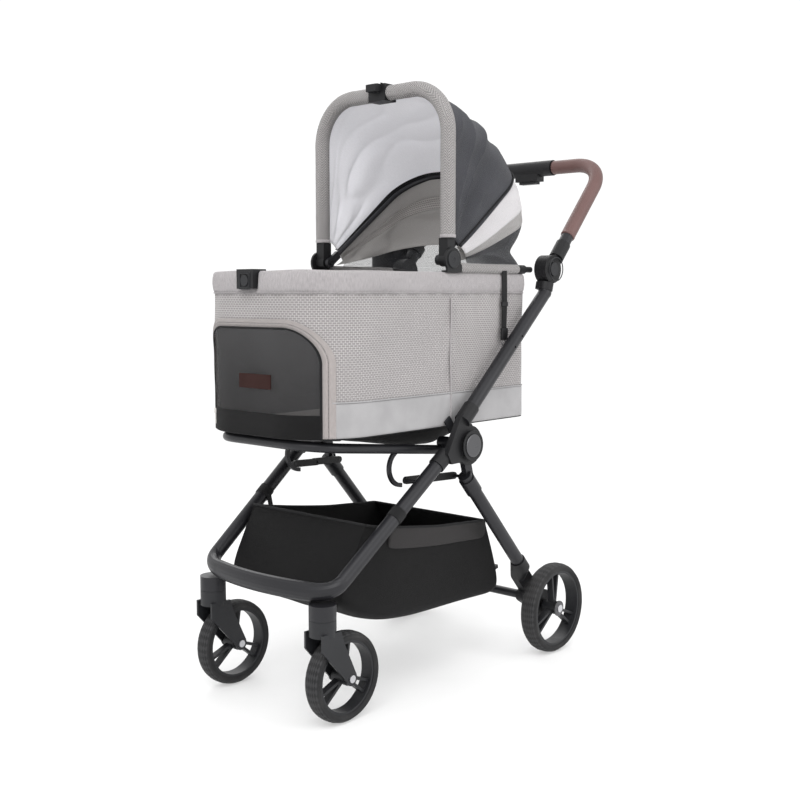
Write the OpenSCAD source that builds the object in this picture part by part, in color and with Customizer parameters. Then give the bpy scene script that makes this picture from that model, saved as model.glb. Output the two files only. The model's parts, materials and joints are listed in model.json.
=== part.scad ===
// Pet stroller: a tubular frame on four wheels, with a fabric carrier, a swinging canopy,
// a basket and a U-shaped handle. Millimetres, +Z up, +X to the stroller's left, front at -Y.
// Lengths along Y are measured from the canopy's pivot line, heights from the ground.
// place() then moves everything so that the origin is on the ground under the middle of the box.

/* [Wheels] */
// Diameter of the front wheels
front_wheel_d = 165; // [140:1:185]
// Diameter of the rear wheels
rear_wheel_d = 190; // [160:1:228]
// Width of the front tyres
front_tyre_w = 34; // [28:1:41]
// Width of the rear tyres
rear_tyre_w = 38; // [30:1:46]
// Radial thickness of the tyres
tyre_t = 15; // [10:1:18]
// Distance between the two front wheels
front_track = 302; // [280:1:320]
// Distance between the two rear wheels
rear_track = 412; // [400:1:500]
// How far a front wheel trails behind its swivel
caster_trail = 49; // [40:1:59]
// Distance from the swivels back to the rear axle
wheel_base = 632; // [540:1:700]

/* [Frame] */
// Diameter of the frame tubes
tube_d = 27; // [22:1:32]
// Height of the hub, where the legs meet
hub_h = 475; // [470:1:500]
// Diameter of the hub discs
hub_d = 76; // [64:1:90]
// Height of the handle joints
joint_h = 815; // [790:1:860]
// Diameter of the handle joints
joint_d = 58; // [50:1:69]
// Height of the bowed front bar
bar_h = 36; // [30:1:42]
// Depth of the bowed front bar
bar_t = 25; // [20:1:30]
// Diameter of the caster sleeves
sleeve_d = 49; // [44:1:58]

/* [Carrier] */
// Width of the carrier over its walls
carrier_w = 352; // [300:1:422]
// Length of the carrier
carrier_l = 598; // [520:1:610]
// Height of the carrier's lower edge
carrier_low = 513; // [513:1:525]
// Height of the mesh walls
wall_h = 254; // [220:1:300]
// Height of the rim band
band_h = 38; // [30:1:45]
// Thickness of the fabric walls
cloth_t = 3; // [2:0.5:4]
// Radius of the carrier's front corners
front_corner_r = 120; // [90:1:140]
// Radius of the carrier's rear corners
rear_corner_r = 28; // [20:1:60]
// Width of the front door
door_w = 300; // [240:1:310]
// Height of the front door
door_h = 192; // [150:1:200]

/* [Canopy] */
// Height of the canopy's pivots above the rim
pivot_rise = 24; // [20:1:30]
// Radius of the hoop's crown from the pivots
hoop_r = 327; // [300:1:335]
// Diameter of the hoop in its sleeve
hoop_d = 27; // [22:1:30]
// Corner radius of the hoop
hoop_corner = 88; // [60:1:110]
// Diameter of the middle bow
bow_d = 10; // [8:1:14]
// Angle of the middle bow behind upright
bow_angle = 53.5; // [48:0.5:58]

/* [Handle] */
// Length of the handle from its joints to the crossbar
handle_l = 316; // [270:1:370]
// Angle of the handle above the horizontal
handle_angle = 48; // [40:1:55]
// Diameter of the handle tube
handle_d = 26; // [22:1:29]
// Diameter of the leather grips
grip_d = 31; // [27:1:36]
// Corner radius of the handle
handle_corner = 76; // [60:1:95]
// Diameter of the cup holder
cup_d = 80; // [70:1:96]

/* [Basket] */
// Width of the basket
basket_w = 306; // [260:1:308]
// Depth of the basket's floor below its front edge
basket_drop = 196; // [160:1:200]

/* [Fits] */
// Radial clearance of turning pins
run_gap = 0.05; // [0.03:0.01:0.1]
// Gap between neighbouring pieces that don't touch
gap = 0.5; // [0.4:0.1:0.8]
// Distance from the carrier's walls to the frame's sides
side_gap = 8; // [8:0.5:12]
// Radius of the hub pins
pin_r = 5; // [4:0.5:6]
// Radius of the wheel axles
axle_r = 4; // [3:0.5:5]
// Radius of the accessory screw holes
hole_r = 2.2; // [1.5:0.1:2.8]
// Distance between the two accessory holes
hole_pitch = 31; // [20:1:40]
// Distance of the upper accessory hole from the tube's kink
hole_from_kink = 129; // [100:1:150]

/* [Hidden] */
$fn = 48;
facet_fn = 32;
tube_r = tube_d / 2;
collar_t = 2.5;
collar_r = tube_r + collar_t;
cw = carrier_w / 2;
side_in = cw + side_gap;
// Vertical places
rim_low = carrier_low + wall_h;
rim_top = rim_low + band_h;
pivot_z = rim_top + pivot_rise;
// Fore-and-aft places
carrier_front = -346;
carrier_rear = carrier_front + carrier_l;
swivel_y = -319;
front_wheel_y = swivel_y + caster_trail;
rear_wheel_y = swivel_y + wheel_base;
front_wheel_r = front_wheel_d / 2;
rear_wheel_r = rear_wheel_d / 2;
swivel_x = front_track / 2;
rear_wheel_x = rear_track / 2;
hub_y = 22;
hub = [hub_y, hub_h];
hub_r = hub_d / 2;
plate_t = 12;
joint = [carrier_rear + 40, joint_h];
joint_r = joint_d / 2;
half_t = 13.7;
// The upper tube rises from the hub to a kink under the handle joint
upper_x = side_in + collar_r;
upper_low = [hub_y - 14, hub_h + 47];
upper_kink = [joint[0] - 13, joint_h - 49];
// The front legs run from the hub down to the bowed bar
leg_x = side_in + 6;
leg_top = [hub_y - 50, hub_h - 13];
leg_end = [swivel_y + 29, bar_h / 2 + 244];
leg_end_x = swivel_x + 21;
bar_z = 243;
// The rear legs hang from the hub and end in a foot beside each rear wheel
rear_top = [hub_y + 8, hub_h - 63];
rear_dir = unit2([rear_wheel_y, rear_wheel_r] - rear_top);
foot_top = [rear_wheel_y, rear_wheel_r] - rear_dir * 134;
foot_x = rear_wheel_x - rear_tyre_w / 2 - 15;
crossbar = [rear_wheel_y - 56, rear_wheel_r + 31];
// Folding brace between the legs, hinged in its middle
brace_front = [hub_y - 122, hub_h - 59];
brace_rear = [hub_y + 11, hub_h - 65];
brace_l = norm(brace_rear - brace_front);
brace_mid = brace_front + (brace_rear - brace_front) * 60 / 133.14;
brace_x = leg_end_x - tube_r - 3;
link_t = 6;
link_pin_r = 3;
// Canopy
hoop_x = side_in - 1.5 - hoop_d / 2;
bow_r = hoop_r - 4;
bow_x = hoop_x - hoop_d / 2 - gap;
hoop_foot_x = bow_x + 1;
rail_r = 9;
rail_x = side_in - 1 - rail_r;
// Handle
handle_x = side_in + 20;
grip_start = 92;
handle_dir = [cos(handle_angle), sin(handle_angle)];
cup_x = -(handle_x + grip_d / 2 + 4 + cup_d / 2);
// Middle of the whole object's box
rear_most = joint[0] + handle_l * handle_dir[0] + grip_d / 2 + 2;
front_most = carrier_front - 13.5;
mid_y = (rear_most + front_most) / 2;
left_most = cup_x - cup_d / 2;
right_most = rear_wheel_x + rear_tyre_w / 2 + 2;
mid_x = (left_most + right_most) / 2;

function unit2(v) = v / norm(v);
function at(x, p) = [x, p[0], p[1]];
function angle_of(v) = atan2(v[1], v[0]);

// Puts a piece, drawn about the middle plane and the canopy's pivot line, into the object's frame
module place() {
    translate([-mid_x, -mid_y, 0]) children();
}

module both_sides() {
    children();
    mirror([1, 0, 0]) children();
}

// side is 1 for the left and -1 for the right
module on_side(side) {
    mirror([side < 0 ? 1 : 0, 0, 0]) children();
}

// A round bar from point a to point b
module rod(a, b, r) {
    d = b - a;
    translate(a)
        rotate([0, acos(d[2] / norm(d)), atan2(d[1], d[0])])
            cylinder(r = r, h = norm(d));
}

// A disc about the X axis through the point p of the side view, from x0 to x1
module disc(p, r, x0, x1) {
    translate([x0, p[0], p[1]]) rotate([0, 90, 0]) cylinder(r = r, h = x1 - x0);
}

// A plate cut to an outline of the side view, from x0 to x1
module side_plate(points, x0, x1) {
    translate([x0, 0, 0]) rotate([90, 0, 90]) linear_extrude(x1 - x0) polygon(points);
}

// A straight strip of the side view between two points, w wide
module side_strip(a, b, w, x0, x1) {
    n = unit2([a[1] - b[1], b[0] - a[0]]) * w / 2;
    side_plate([a + n, b + n, b - n, a - n], x0, x1);
}

// A U of round tube: legs along +Y from y0, crown at y1, in the XY plane
module u_tube(half_w, y0, y1, corner, r) {
    both_sides() {
        translate([half_w, y0, 0]) rotate([-90, 0, 0]) cylinder(r = r, h = y1 - corner - y0);
        translate([half_w - corner, y1 - corner, 0]) rotate_extrude(angle = 90)
            translate([corner, 0]) circle(r = r);
        translate([0, y1, 0]) rotate([0, 90, 0]) cylinder(r = r, h = half_w - corner);
    }
}

// The carrier's outline from above, grown by d
module carrier_outline(d) {
    w = cw + d;
    rf = front_corner_r + d;
    rr = rear_corner_r + d;
    y0 = carrier_front - d;
    y1 = carrier_rear + d;
    for (s = [-1, 1]) {
        translate([s * (w - rf), y0 + rf]) circle(r = rf, $fn = 96);
        translate([s * (w - rr), y1 - rr]) circle(r = rr, $fn = 96);
    }
    translate([-w + rf, y0]) square([2 * (w - rf), rf]);
    translate([-w, y0 + rf]) square([2 * w, y1 - rr - y0 - rf]);
    translate([-w + rr, y1 - rr]) square([2 * (w - rr), rr]);
}

// A wall that follows the carrier's outline, from outside d0 in to d1
module carrier_ring(z0, z1, d0, d1) {
    translate([0, 0, z0]) linear_extrude(z1 - z0) difference() {
        carrier_outline(d0);
        carrier_outline(d1);
    }
}

// ---- Frame ----

// Points and half sizes of the bowed bar, from the left leg's end to the middle
bar_steps = 14;
bar_join = [swivel_x - 36, swivel_y - 8, bar_z];
leg_dir = (at(leg_end_x, leg_end) - at(leg_x, leg_top)) / norm(at(leg_end_x, leg_end) - at(leg_x, leg_top));
function bezier(a, b, c, d, t) = a * pow(1 - t, 3) + b * 3 * t * pow(1 - t, 2)
    + c * 3 * t * t * (1 - t) + d * pow(t, 3);
function bar_bend(t) = bezier(at(leg_end_x, leg_end), at(leg_end_x, leg_end) + leg_dir * 26,
    bar_join + [26, 5, 0], bar_join, t);
function bar_bow(x) = [x, swivel_y - 21 + 13 * pow(x / bar_join[0], 2), bar_z];
bar_left = concat([for (i = [0 : bar_steps]) bar_bend(i / bar_steps)],
    [for (i = [1 : bar_steps - 1]) bar_bow(bar_join[0] * (1 - i / bar_steps))]);
bar_path = concat(bar_left, [bar_bow(0)],
    [for (i = [len(bar_left) - 1 : -1 : 0]) [-bar_left[i][0], bar_left[i][1], bar_left[i][2]]]);
bar_sides = 16;

function share(i, n) = min(1, min(i, n - 1 - i) / bar_steps);
function tangent(path, i) = i == 0 ? leg_dir
    : i == len(path) - 1 ? [leg_dir[0], -leg_dir[1], -leg_dir[2]]
    : (path[i + 1] - path[i - 1]) / norm(path[i + 1] - path[i - 1]);
function bar_ring(i) =
    let (t = tangent(bar_path, i), k = share(i, len(bar_path)),
        side = cross(t, [0, 0, 1]) / norm(cross(t, [0, 0, 1])), up = cross(side, t),
        half_t = tube_r * (1 - k) + bar_t / 2 * k, half_h = tube_r * (1 - k) + bar_h / 2 * k)
    [for (j = [0 : bar_sides - 1]) let (a = 360 * j / bar_sides)
        bar_path[i] + side * half_t * cos(a) + up * half_h * sin(a)];

module front_bar() {
    n = len(bar_path);
    m = bar_sides;
    points = [for (i = [0 : n - 1]) each bar_ring(i)];
    sides = [for (i = [0 : n - 2]) for (j = [0 : m - 1])
        [i * m + j, i * m + (j + 1) % m, (i + 1) * m + (j + 1) % m, (i + 1) * m + j]];
    color([0.2, 0.2, 0.21]) polyhedron(points,
        concat([[for (j = [m - 1 : -1 : 0]) j]], sides, [[for (j = [0 : m - 1]) (n - 1) * m + j]]));
}

module front_leg(side) {
    brace_leg_x = leg_x + (leg_end_x - leg_x) * (brace_front[0] - leg_top[0]) / (leg_end[0] - leg_top[0]);
    color([0.2, 0.2, 0.21]) on_side(side) {
        rod(at(leg_end_x, leg_end), at(leg_x, leg_top), tube_r);
        disc(brace_front, link_pin_r, brace_x - link_t, brace_leg_x);
    }
}

// A collar round the end of a tube, from a to b
module collar(a, b) {
    difference() {
        rod(a, b, collar_r);
        rod(a - (b - a), b + (b - a), tube_r + run_gap);
    }
}

module hub(side) {
    x0 = side_in + plate_t;
    x1 = x0 + plate_t;
    u = unit2(upper_kink - upper_low);
    l = unit2(leg_end - leg_top);
    color([0.13, 0.13, 0.14]) on_side(side) {
        difference() {
            union() {
                disc(hub, hub_r, x0, x1);
                side_plate([hub + [-hub_r * 0.6, -hub_r * 0.8], hub + [hub_r, 0],
                    upper_low + u * 8 + [14, -12], upper_low + u * 6 + [-10, 12],
                    upper_low + [-16, 6], leg_top + [-16, 2], leg_top + [-4, -18]], x0, x1);
            }
            disc(hub, pin_r + run_gap, x0 - 1, x0 + 8);
            rod(at(upper_x, upper_low), at(upper_x, upper_kink), tube_r + run_gap);
            rod(at(leg_x, leg_top), at(leg_end_x, leg_end), tube_r + run_gap);
        }
        collar(at(upper_x, upper_low), at(upper_x, upper_low + u * 38));
        collar(at(leg_x, leg_top), at(leg_x, leg_top) + leg_dir * 34);
    }
}

module hub_pins() {
    color([0.75, 0.75, 0.77]) both_sides()
        disc(hub, pin_r, side_in - 9, side_in + plate_t + 8);
}

// Upper tube, with two blind screw holes for accessories in its outer side
module upper_tube(side) {
    u = unit2(joint - upper_kink);
    along = unit2(upper_kink - upper_low);
    color([0.2, 0.2, 0.21]) on_side(side) difference() {
        union() {
            rod(at(upper_x, upper_low), at(upper_x, upper_kink), tube_r);
            translate(at(upper_x, upper_kink)) sphere(r = tube_r + 0.5);
            rod(at(upper_x, upper_kink), at(upper_x, joint - u * (joint_r + 2)), tube_r);
        }
        for (i = [0, 1])
            disc(upper_kink - along * (hole_from_kink + i * hole_pitch), hole_r,
                upper_x + tube_r - 9, upper_x + tube_r + 1);
    }
}

// The fixed half of a handle joint, on top of the upper tube
module handle_socket(side) {
    u = unit2(joint - upper_kink);
    color([0.13, 0.13, 0.14]) on_side(side) difference() {
        union() {
            disc(joint, joint_r, side_in, side_in + half_t);
            side_strip(joint, joint - u * (joint_r + 8), 22, side_in, side_in + half_t);
            side_strip(joint - u * (joint_r + 0.3), joint - u * (joint_r + 16), tube_d + 0.6,
                side_in, upper_x);
            rod(at(upper_x, joint - u * joint_r), at(upper_x, joint - u * (joint_r + 16)), collar_r - 0.7);
        }
        disc(joint, pin_r + run_gap, side_in + 2, side_in + half_t + 1);
        rod(at(upper_x, upper_kink), at(upper_x, joint - u * (joint_r + 2)), tube_r + run_gap);
    }
}

sleeve_low = front_wheel_d + 33;
sleeve_top = bar_z - bar_h / 2;
stem_r = 8;

module caster_sleeve(side) {
    color([0.17, 0.17, 0.18]) on_side(side) translate([swivel_x, swivel_y, 0]) difference() {
        translate([0, 0, sleeve_low]) cylinder(d = sleeve_d, h = sleeve_top - sleeve_low);
        translate([0, 0, sleeve_low - 1]) cylinder(r = stem_r + run_gap, h = 21);
    }
}

// Basket: an open fabric tub, cut to the side view's outline
basket_front_h = 348;
basket_points = [[-212, basket_front_h], [-278, 226], [-262, 204], [-136, basket_front_h - basket_drop],
    [60, basket_front_h - basket_drop - 8], [205, 138], [142, 304], [20, 312], [-100, 326]];

module basket() {
    t = cloth_t;
    inner = [[-212 + t * 1.5, basket_front_h + 9], [-278 + t * 1.2, 226], [-262 + t, 204 + t],
        [-136, basket_front_h - basket_drop + t], [60, basket_front_h - basket_drop - 8 + t],
        [205 - t * 1.4, 138 + t * 1.4], [142 - t, 320], [20, 330], [-100, 340]];
    hang = at(leg_x, leg_top) + (at(leg_end_x, leg_end) - at(leg_x, leg_top)) * 0.5;
    color([0.09, 0.09, 0.1]) {
        difference() {
            side_plate(basket_points, -basket_w / 2, basket_w / 2);
            side_plate(inner, -basket_w / 2 + t, basket_w / 2 - t);
        }
        // Loops round the front legs
        both_sides() difference() {
            union() {
                rod(hang - leg_dir * 11, hang + leg_dir * 11, tube_r + 1.5);
                translate([basket_w / 2 - t, hang[1] - 24, hang[2] - 40]) cube([t, 30, 40]);
                translate([basket_w / 2 - t, hang[1] - 9, hang[2] - 9])
                    cube([hang[0] - tube_r - basket_w / 2 + t, 18, 18]);
            }
            rod(hang - leg_dir * 30, hang + leg_dir * 30, tube_r);
        }
    }
}

// Release levers: a thumb paddle inside each hub, on the hub pin
lever_dir = unit2([-40, 55]);

module release_levers() {
    color([0.25, 0.25, 0.26]) both_sides() difference() {
        union() {
            disc(hub, 11, side_in - 4, side_in - gap);
            side_strip(hub, hub + lever_dir * 40, 12, side_in - 4, side_in - gap);
            side_strip(hub + lever_dir * 36, hub + lever_dir * 64, 18, side_in - 4, side_in - gap);
        }
        disc(hub, pin_r + run_gap, side_in - 6, side_in + 1);
    }
}

// ---- Casters ----

fork_gap = front_tyre_w / 2 + 2;
fork_t = 4.5;
fork_top = sleeve_low - gap;
crown_low = front_wheel_d + 3;

module fork(side) {
    r = sleeve_d / 2;
    arm = [[-r + 2, crown_low + 8], [r - 2, crown_low + 8], [r + 8, crown_low - 20],
        [caster_trail + 12, front_wheel_r + 6], [caster_trail - 4, front_wheel_r - 12],
        [-r + 2, crown_low - 22]];
    color([0.13, 0.13, 0.14]) on_side(side) translate([swivel_x, swivel_y, 0]) difference() {
        union() {
            translate([0, 0, crown_low]) cylinder(r = r, h = fork_top - crown_low);
            translate([0, 0, fork_top - 1]) cylinder(r = stem_r, h = 19);
            for (x = [-fork_gap - fork_t, fork_gap]) {
                side_plate(arm, x, x + fork_t);
                disc([caster_trail, front_wheel_r], 13, x, x + fork_t);
            }
        }
        disc([caster_trail, front_wheel_r], axle_r, -fork_gap - fork_t - 1, fork_gap + fork_t + 1);
    }
}

module front_axle(side) {
    reach = fork_gap + fork_t;
    color([0.6, 0.6, 0.62]) on_side(side) translate([swivel_x, front_wheel_y, front_wheel_r]) {
        disc([0, 0], axle_r, -reach, reach);
        disc([0, 0], 7, reach, reach + 2.5);
        disc([0, 0], 7, -reach - 2.5, -reach);
    }
}

// ---- Wheels ----

module front_tyre(side) {
    tyre(side * swivel_x, front_wheel_y, front_wheel_r, front_tyre_w);
}

module rear_tyre(side) {
    tyre(side * rear_wheel_x, rear_wheel_y, rear_wheel_r, rear_tyre_w);
}

module front_wheel(side) {
    wheel(side * swivel_x, front_wheel_y, front_wheel_r, front_tyre_w);
}

module rear_wheel(side) {
    wheel(side * rear_wheel_x, rear_wheel_y, rear_wheel_r, rear_tyre_w);
}

module tyre(x, y, wheel_r, w) {
    shoulder = w * 0.3;
    inner = wheel_r - tyre_t;
    color([0.14, 0.14, 0.15]) translate([x, y, wheel_r]) rotate([0, 90, 0]) rotate_extrude($fn = 96)
        polygon([[inner, -w / 2 + 3], [inner + 5, -w / 2], [wheel_r - shoulder * 0.6, -w / 2],
            [wheel_r - shoulder * 0.15, -w / 2 + shoulder * 0.6], [wheel_r, -w / 2 + shoulder * 1.2],
            [wheel_r, w / 2 - shoulder * 1.2], [wheel_r - shoulder * 0.15, w / 2 - shoulder * 0.6],
            [wheel_r - shoulder * 0.6, w / 2], [inner + 5, w / 2], [inner, w / 2 - 3]]);
}

// Wheel centre: rim ring, three split spokes and a bored boss that runs on the axle
module wheel(x, y, wheel_r, w) {
    ring_r = wheel_r - tyre_t;
    ring_w = w - 8;
    spoke_w = 14;
    color([0.16, 0.16, 0.17]) translate([x, y, wheel_r]) difference() {
        union() {
            difference() {
                disc([0, 0], ring_r, -ring_w / 2, ring_w / 2);
                disc([0, 0], ring_r - 5, -ring_w, ring_w);
            }
            disc([0, 0], 14, -w / 2 + 1, w / 2 - 1);
            for (a = [90, 210, 330]) rotate([a, 0, 0])
                side_plate([[10, -5], [ring_r - 2, -spoke_w], [ring_r - 2, spoke_w], [10, 5]], -7, 7);
        }
        for (a = [90, 210, 330]) rotate([a, 0, 0])
            side_plate([[20, -1], [ring_r - 8, -spoke_w + 6], [ring_r - 8, spoke_w - 6], [20, 1]], -w, w);
        disc([0, 0], axle_r + run_gap, -w, w);
    }
}

// ---- Rear frame ----

module rear_leg(side) {
    d = unit2(foot_top - rear_top);
    color([0.2, 0.2, 0.21]) on_side(side) {
        rod(at(leg_x, rear_top - d * 3), at(leg_x, foot_top), tube_r);
        rod(at(leg_x, rear_top + d * 7), at(leg_x, rear_top + d * 44), collar_r);
        disc(brace_rear, link_pin_r, brace_x + 0.2, leg_x);
        difference() {
            union() {
                disc(hub, 24, side_in, side_in + plate_t - gap);
                side_strip(hub, rear_top + d * 20, 20, side_in, side_in + plate_t - gap);
            }
            disc(hub, pin_r + run_gap, side_in - 1, side_in + plate_t);
        }
    }
}

module rear_foot(side) {
    d = unit2(foot_top - rear_top);
    color([0.13, 0.13, 0.14]) on_side(side) difference() {
        union() {
            hull() {
                rod(at(leg_x, foot_top - d * 26), at(leg_x, foot_top + d * 2), collar_r, $fn = facet_fn);
                disc(foot_top + d * 20, 19, foot_x - 8, foot_x + 8, $fn = facet_fn);
            }
            hull() {
                disc(foot_top + d * 20, 19, foot_x - 8, foot_x + 8, $fn = facet_fn);
                disc([rear_wheel_y, rear_wheel_r], 20, foot_x - 8, foot_x + 8, $fn = facet_fn);
            }
            hull() {
                disc(crossbar, 14, foot_x - 12, foot_x + 4, $fn = facet_fn);
                disc([rear_wheel_y, rear_wheel_r], 18, foot_x - 8, foot_x + 4, $fn = facet_fn);
            }
            disc([rear_wheel_y, rear_wheel_r], 34, foot_x - 8, foot_x + 10);
        }
        rod(at(leg_x, rear_top), at(leg_x, foot_top), tube_r + run_gap);
        disc([rear_wheel_y, rear_wheel_r], axle_r, foot_x - 10, foot_x + 20);
    }
}

module rear_crossbar() {
    color([0.2, 0.2, 0.21]) disc(crossbar, 9, -foot_x + 12, foot_x - 12);
}

module rear_axles() {
    color([0.6, 0.6, 0.62]) both_sides() {
        disc([rear_wheel_y, rear_wheel_r], axle_r, foot_x - 8, rear_wheel_x + rear_tyre_w / 2);
        disc([rear_wheel_y, rear_wheel_r], 8, rear_wheel_x + rear_tyre_w / 2, right_most);
    }
}

// Foot brake: a pedal whose bushes turn on the crossbar
module brake_pedal() {
    tip = crossbar + [52, 22];
    color([0.3, 0.3, 0.31]) difference() {
        union() {
            for (x = [-46, 26]) disc(crossbar, 14, x, x + 20);
            for (x = [-46, 26]) side_strip(crossbar, tip, 9, x, x + 20);
            disc(tip, 7, -46, 46);
            side_strip(tip, tip + [24, 6], 8, -46, 46);
        }
        disc(crossbar, 9 + run_gap, -60, 60);
    }
}

// ---- Carrier base ----

loop_r = 9;
loop_x = brace_x - link_t - 2 * gap - loop_r;
loop_rear = [hub_y - 6, hub_h - 14];
loop_front = [carrier_front + 22, carrier_low - 14];
loop_tilt = angle_of(loop_front - loop_rear);
hook_top = loop_rear + (loop_front - loop_rear) * 0.34;

// Tube loop under the carrier, hung on the hub pins, with a curved rest hook each side
module base_loop() {
    color([0.1, 0.1, 0.11]) {
        translate([0, loop_rear[0], loop_rear[1]]) rotate([loop_tilt, 0, 0])
            u_tube(loop_x, 0, norm(loop_front - loop_rear), 70, loop_r);
        both_sides() {
            difference() {
                union() {
                    disc(hub, 20, side_in - 11, side_in - 4 - gap);
                    disc(hub, 12, loop_x - 5, side_in - 8);
                    side_strip(hub, loop_rear + [-3, -4], 14, loop_x - 4, loop_x + 6);
                }
                disc(hub, pin_r + run_gap, side_in - 14, side_in);
            }
            translate([loop_x - 3, hook_top[0], hook_top[1] - 34]) rotate([90, 0, 90]) rotate([0, 0, 90])
                rotate_extrude(angle = 180) translate([30, 0]) square([8, 6]);
        }
    }
}

// Black fabric sling that hangs inside the loop, under the carrier's floor
sling_x = loop_x - loop_r - 4;
sling_front = carrier_front + 40;
sling_rear = carrier_rear - 38;
sling_low = [[-20, hub_h - 9], [40, hub_h - 11]];

module base_sling() {
    t = 2.5;
    color([0.07, 0.07, 0.08]) side_plate([[sling_front, carrier_low], sling_low[0], sling_low[1],
        [sling_rear, carrier_low], [sling_rear - 3 * t, carrier_low], sling_low[1] + [-1, t],
        sling_low[0] + [1, t], [sling_front + 5 * t, carrier_low]], -sling_x, sling_x);
}

module floor_pad() {
    color([0.45, 0.44, 0.43]) translate([0, 0, carrier_low]) linear_extrude(12)
        carrier_outline(-cloth_t - gap);
}

door_low = carrier_low + 8;
door_r = 70;

// The door's opening, seen from the front, narrower by d on each side
module door_cut(d, z_up) {
    w = door_w / 2 - d;
    translate([0, carrier_front + front_corner_r, 0]) rotate([90, 0, 0])
        linear_extrude(front_corner_r + 40) {
            for (s = [-1, 1])
                translate([s * (w - door_r), door_low + z_up + door_h - 2 * d - door_r]) circle(r = door_r);
            translate([-w, door_low + z_up]) square([2 * w, door_h - 2 * d - door_r]);
            translate([-w + door_r, door_low + z_up]) square([2 * (w - door_r), door_h - 2 * d]);
        }
}

module carrier_walls() {
    color([0.76, 0.75, 0.74]) difference() {
        carrier_ring(carrier_low, rim_low - gap, 0, -cloth_t);
        door_cut(0, 0);
    }
}

module door_flap() {
    color([0.16, 0.16, 0.17]) intersection() {
        carrier_ring(carrier_low, rim_low, 0, -cloth_t);
        door_cut(gap, gap);
    }
}

module zip_puller() {
    stand = front_corner_r + 3.2;
    x = front_corner_r - cw - stand * cos(60);
    y = carrier_front + front_corner_r - stand * sin(60);
    color([0.8, 0.79, 0.77]) {
        translate([x, y, door_low + 22]) cylinder(r = 3, h = 9);
        translate([x, y, door_low + 2]) cylinder(r = 1.5, h = 21);
    }
}

// ---- Rim ----

band_t = 8;
buckle_w = 44;

module rim_band() {
    color([0.72, 0.7, 0.7]) difference() {
        carrier_ring(rim_low, rim_top, 0, -band_t);
        translate([-buckle_w / 2 - gap, carrier_front - 20, rim_low + 6])
            cube([buckle_w + 2 * gap, 60, band_h]);
    }
}

rail_z = rim_top + rail_r;
rail_front = 26;
rail_back = joint[0] - joint_r - 46;

module side_rails() {
    color([0.74, 0.71, 0.68]) both_sides()
        rod([rail_x, rail_front, rail_z], [rail_x, rail_back, rail_z], rail_r);
}

// Black fittings on the rim: the rails' rear adapters and the canopy's pivot brackets
module rim_fittings() {
    foot_w = 34;
    color([0.1, 0.1, 0.11]) both_sides() {
        rod([rail_x, rail_back, rail_z], [rail_x, rail_back + 22, rail_z], rail_r);
        rod([rail_x, rail_back + 22, rail_z], [rail_x, rail_back + 46, rail_z], 6);
        difference() {
            union() {
                disc([0, pivot_z], 23, side_in - 6, side_in - 1);
                side_plate([[-foot_w / 2, rim_top], [rail_front, rim_top], [rail_front, rim_top + 14],
                    [8, pivot_z], [-8, pivot_z], [-foot_w / 2, rim_top + 12]], side_in - 6, side_in - 1);
                translate([cw - band_t, -foot_w / 2, rim_top])
                    cube([side_in - 1 - cw + band_t, foot_w / 2 + rail_front, 4]);
            }
            disc([0, pivot_z], pin_r + run_gap, side_in - 12, side_in + 5);
        }
    }
}

tongue_w = 26;
buckle_front = carrier_front - 12;
buckle_top = rim_top + 3;

module rim_buckle() {
    color([0.08, 0.08, 0.09]) difference() {
        translate([-buckle_w / 2, buckle_front, rim_low + 6 + gap])
            cube([buckle_w, 31, buckle_top - rim_low - 6 - gap]);
        translate([-tongue_w / 2 - 1.5, carrier_front - 3, rim_top - 14])
            cube([tongue_w + 3, 24, 40]);
        translate([0, buckle_front - 1, rim_low + 21]) rotate([-90, 0, 0]) cylinder(r = 10 + gap, h = 8.5);
    }
}

module buckle_button() {
    color([0.1, 0.1, 0.11]) translate([0, buckle_front - 1.5, rim_low + 21]) rotate([-90, 0, 0])
        cylinder(r = 10, h = 5);
}

// Webbing strap with a clip that hangs from the left rail to the upper tube
module rim_strap() {
    color([0.1, 0.1, 0.11]) {
        difference() {
            translate([side_in - 3.5, rail_back - 62, 690]) cube([2, 16, rail_z - 2 - 690]);
            rod([rail_x, rail_front, rail_z], [rail_x, rail_back, rail_z], rail_r);
        }
        translate([side_in - 5.5, rail_back - 64, 672]) cube([5, 20, 26]);
    }
}

// ---- Canopy ----

module swung(angle) {
    translate([0, 0, pivot_z]) rotate([90 - angle, 0, 0]) children();
}

// Pivot ear of a bow on the canopy's pivot pin
module bow_ear(x, thick, r, reach) {
    difference() {
        union() {
            disc([0, 0], r, x, x + thick);
            side_strip([0, 0], [reach, 0], 2 * r - 4, x, x + thick);
        }
        disc([0, 0], pin_r + run_gap, x - 1, x + thick + 1);
    }
}

module mid_bow() {
    color([0.2, 0.2, 0.21]) swung(bow_angle) {
        u_tube(bow_x - bow_d / 2, 26, bow_r, 84, bow_d / 2);
        both_sides() bow_ear(bow_x - bow_d, bow_d - 2, 10, 30);
    }
}

// The hoop turns on its own pins, which also carry the middle bow
module hoop() {
    foot_w = side_in - 6 - gap - hoop_foot_x;
    color([0.74, 0.71, 0.68]) swung(0) u_tube(hoop_x, 40, hoop_r, hoop_corner, hoop_d / 2);
    color([0.1, 0.1, 0.11]) both_sides() {
        swung(0) {
            disc([0, 0], 13, hoop_foot_x, hoop_foot_x + foot_w);
            translate([hoop_foot_x, 0, -11]) cube([foot_w, 41, 22]);
        }
        disc([0, pivot_z], pin_r, bow_x - bow_d - 4, side_in - 1.5);
    }
}

tongue_r0 = -carrier_front - 18;

module hoop_latch() {
    color([0.08, 0.08, 0.09]) swung(0) {
        difference() {
            translate([-22, hoop_r - 16, -17]) cube([44, 33, 33]);
            rotate([0, 90, 0]) translate([0, hoop_r, -60]) cylinder(r = hoop_d / 2 + run_gap, h = 120);
        }
        translate([-tongue_w / 2, tongue_r0, 16]) cube([tongue_w, 14, 17]);
    }
}

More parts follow.
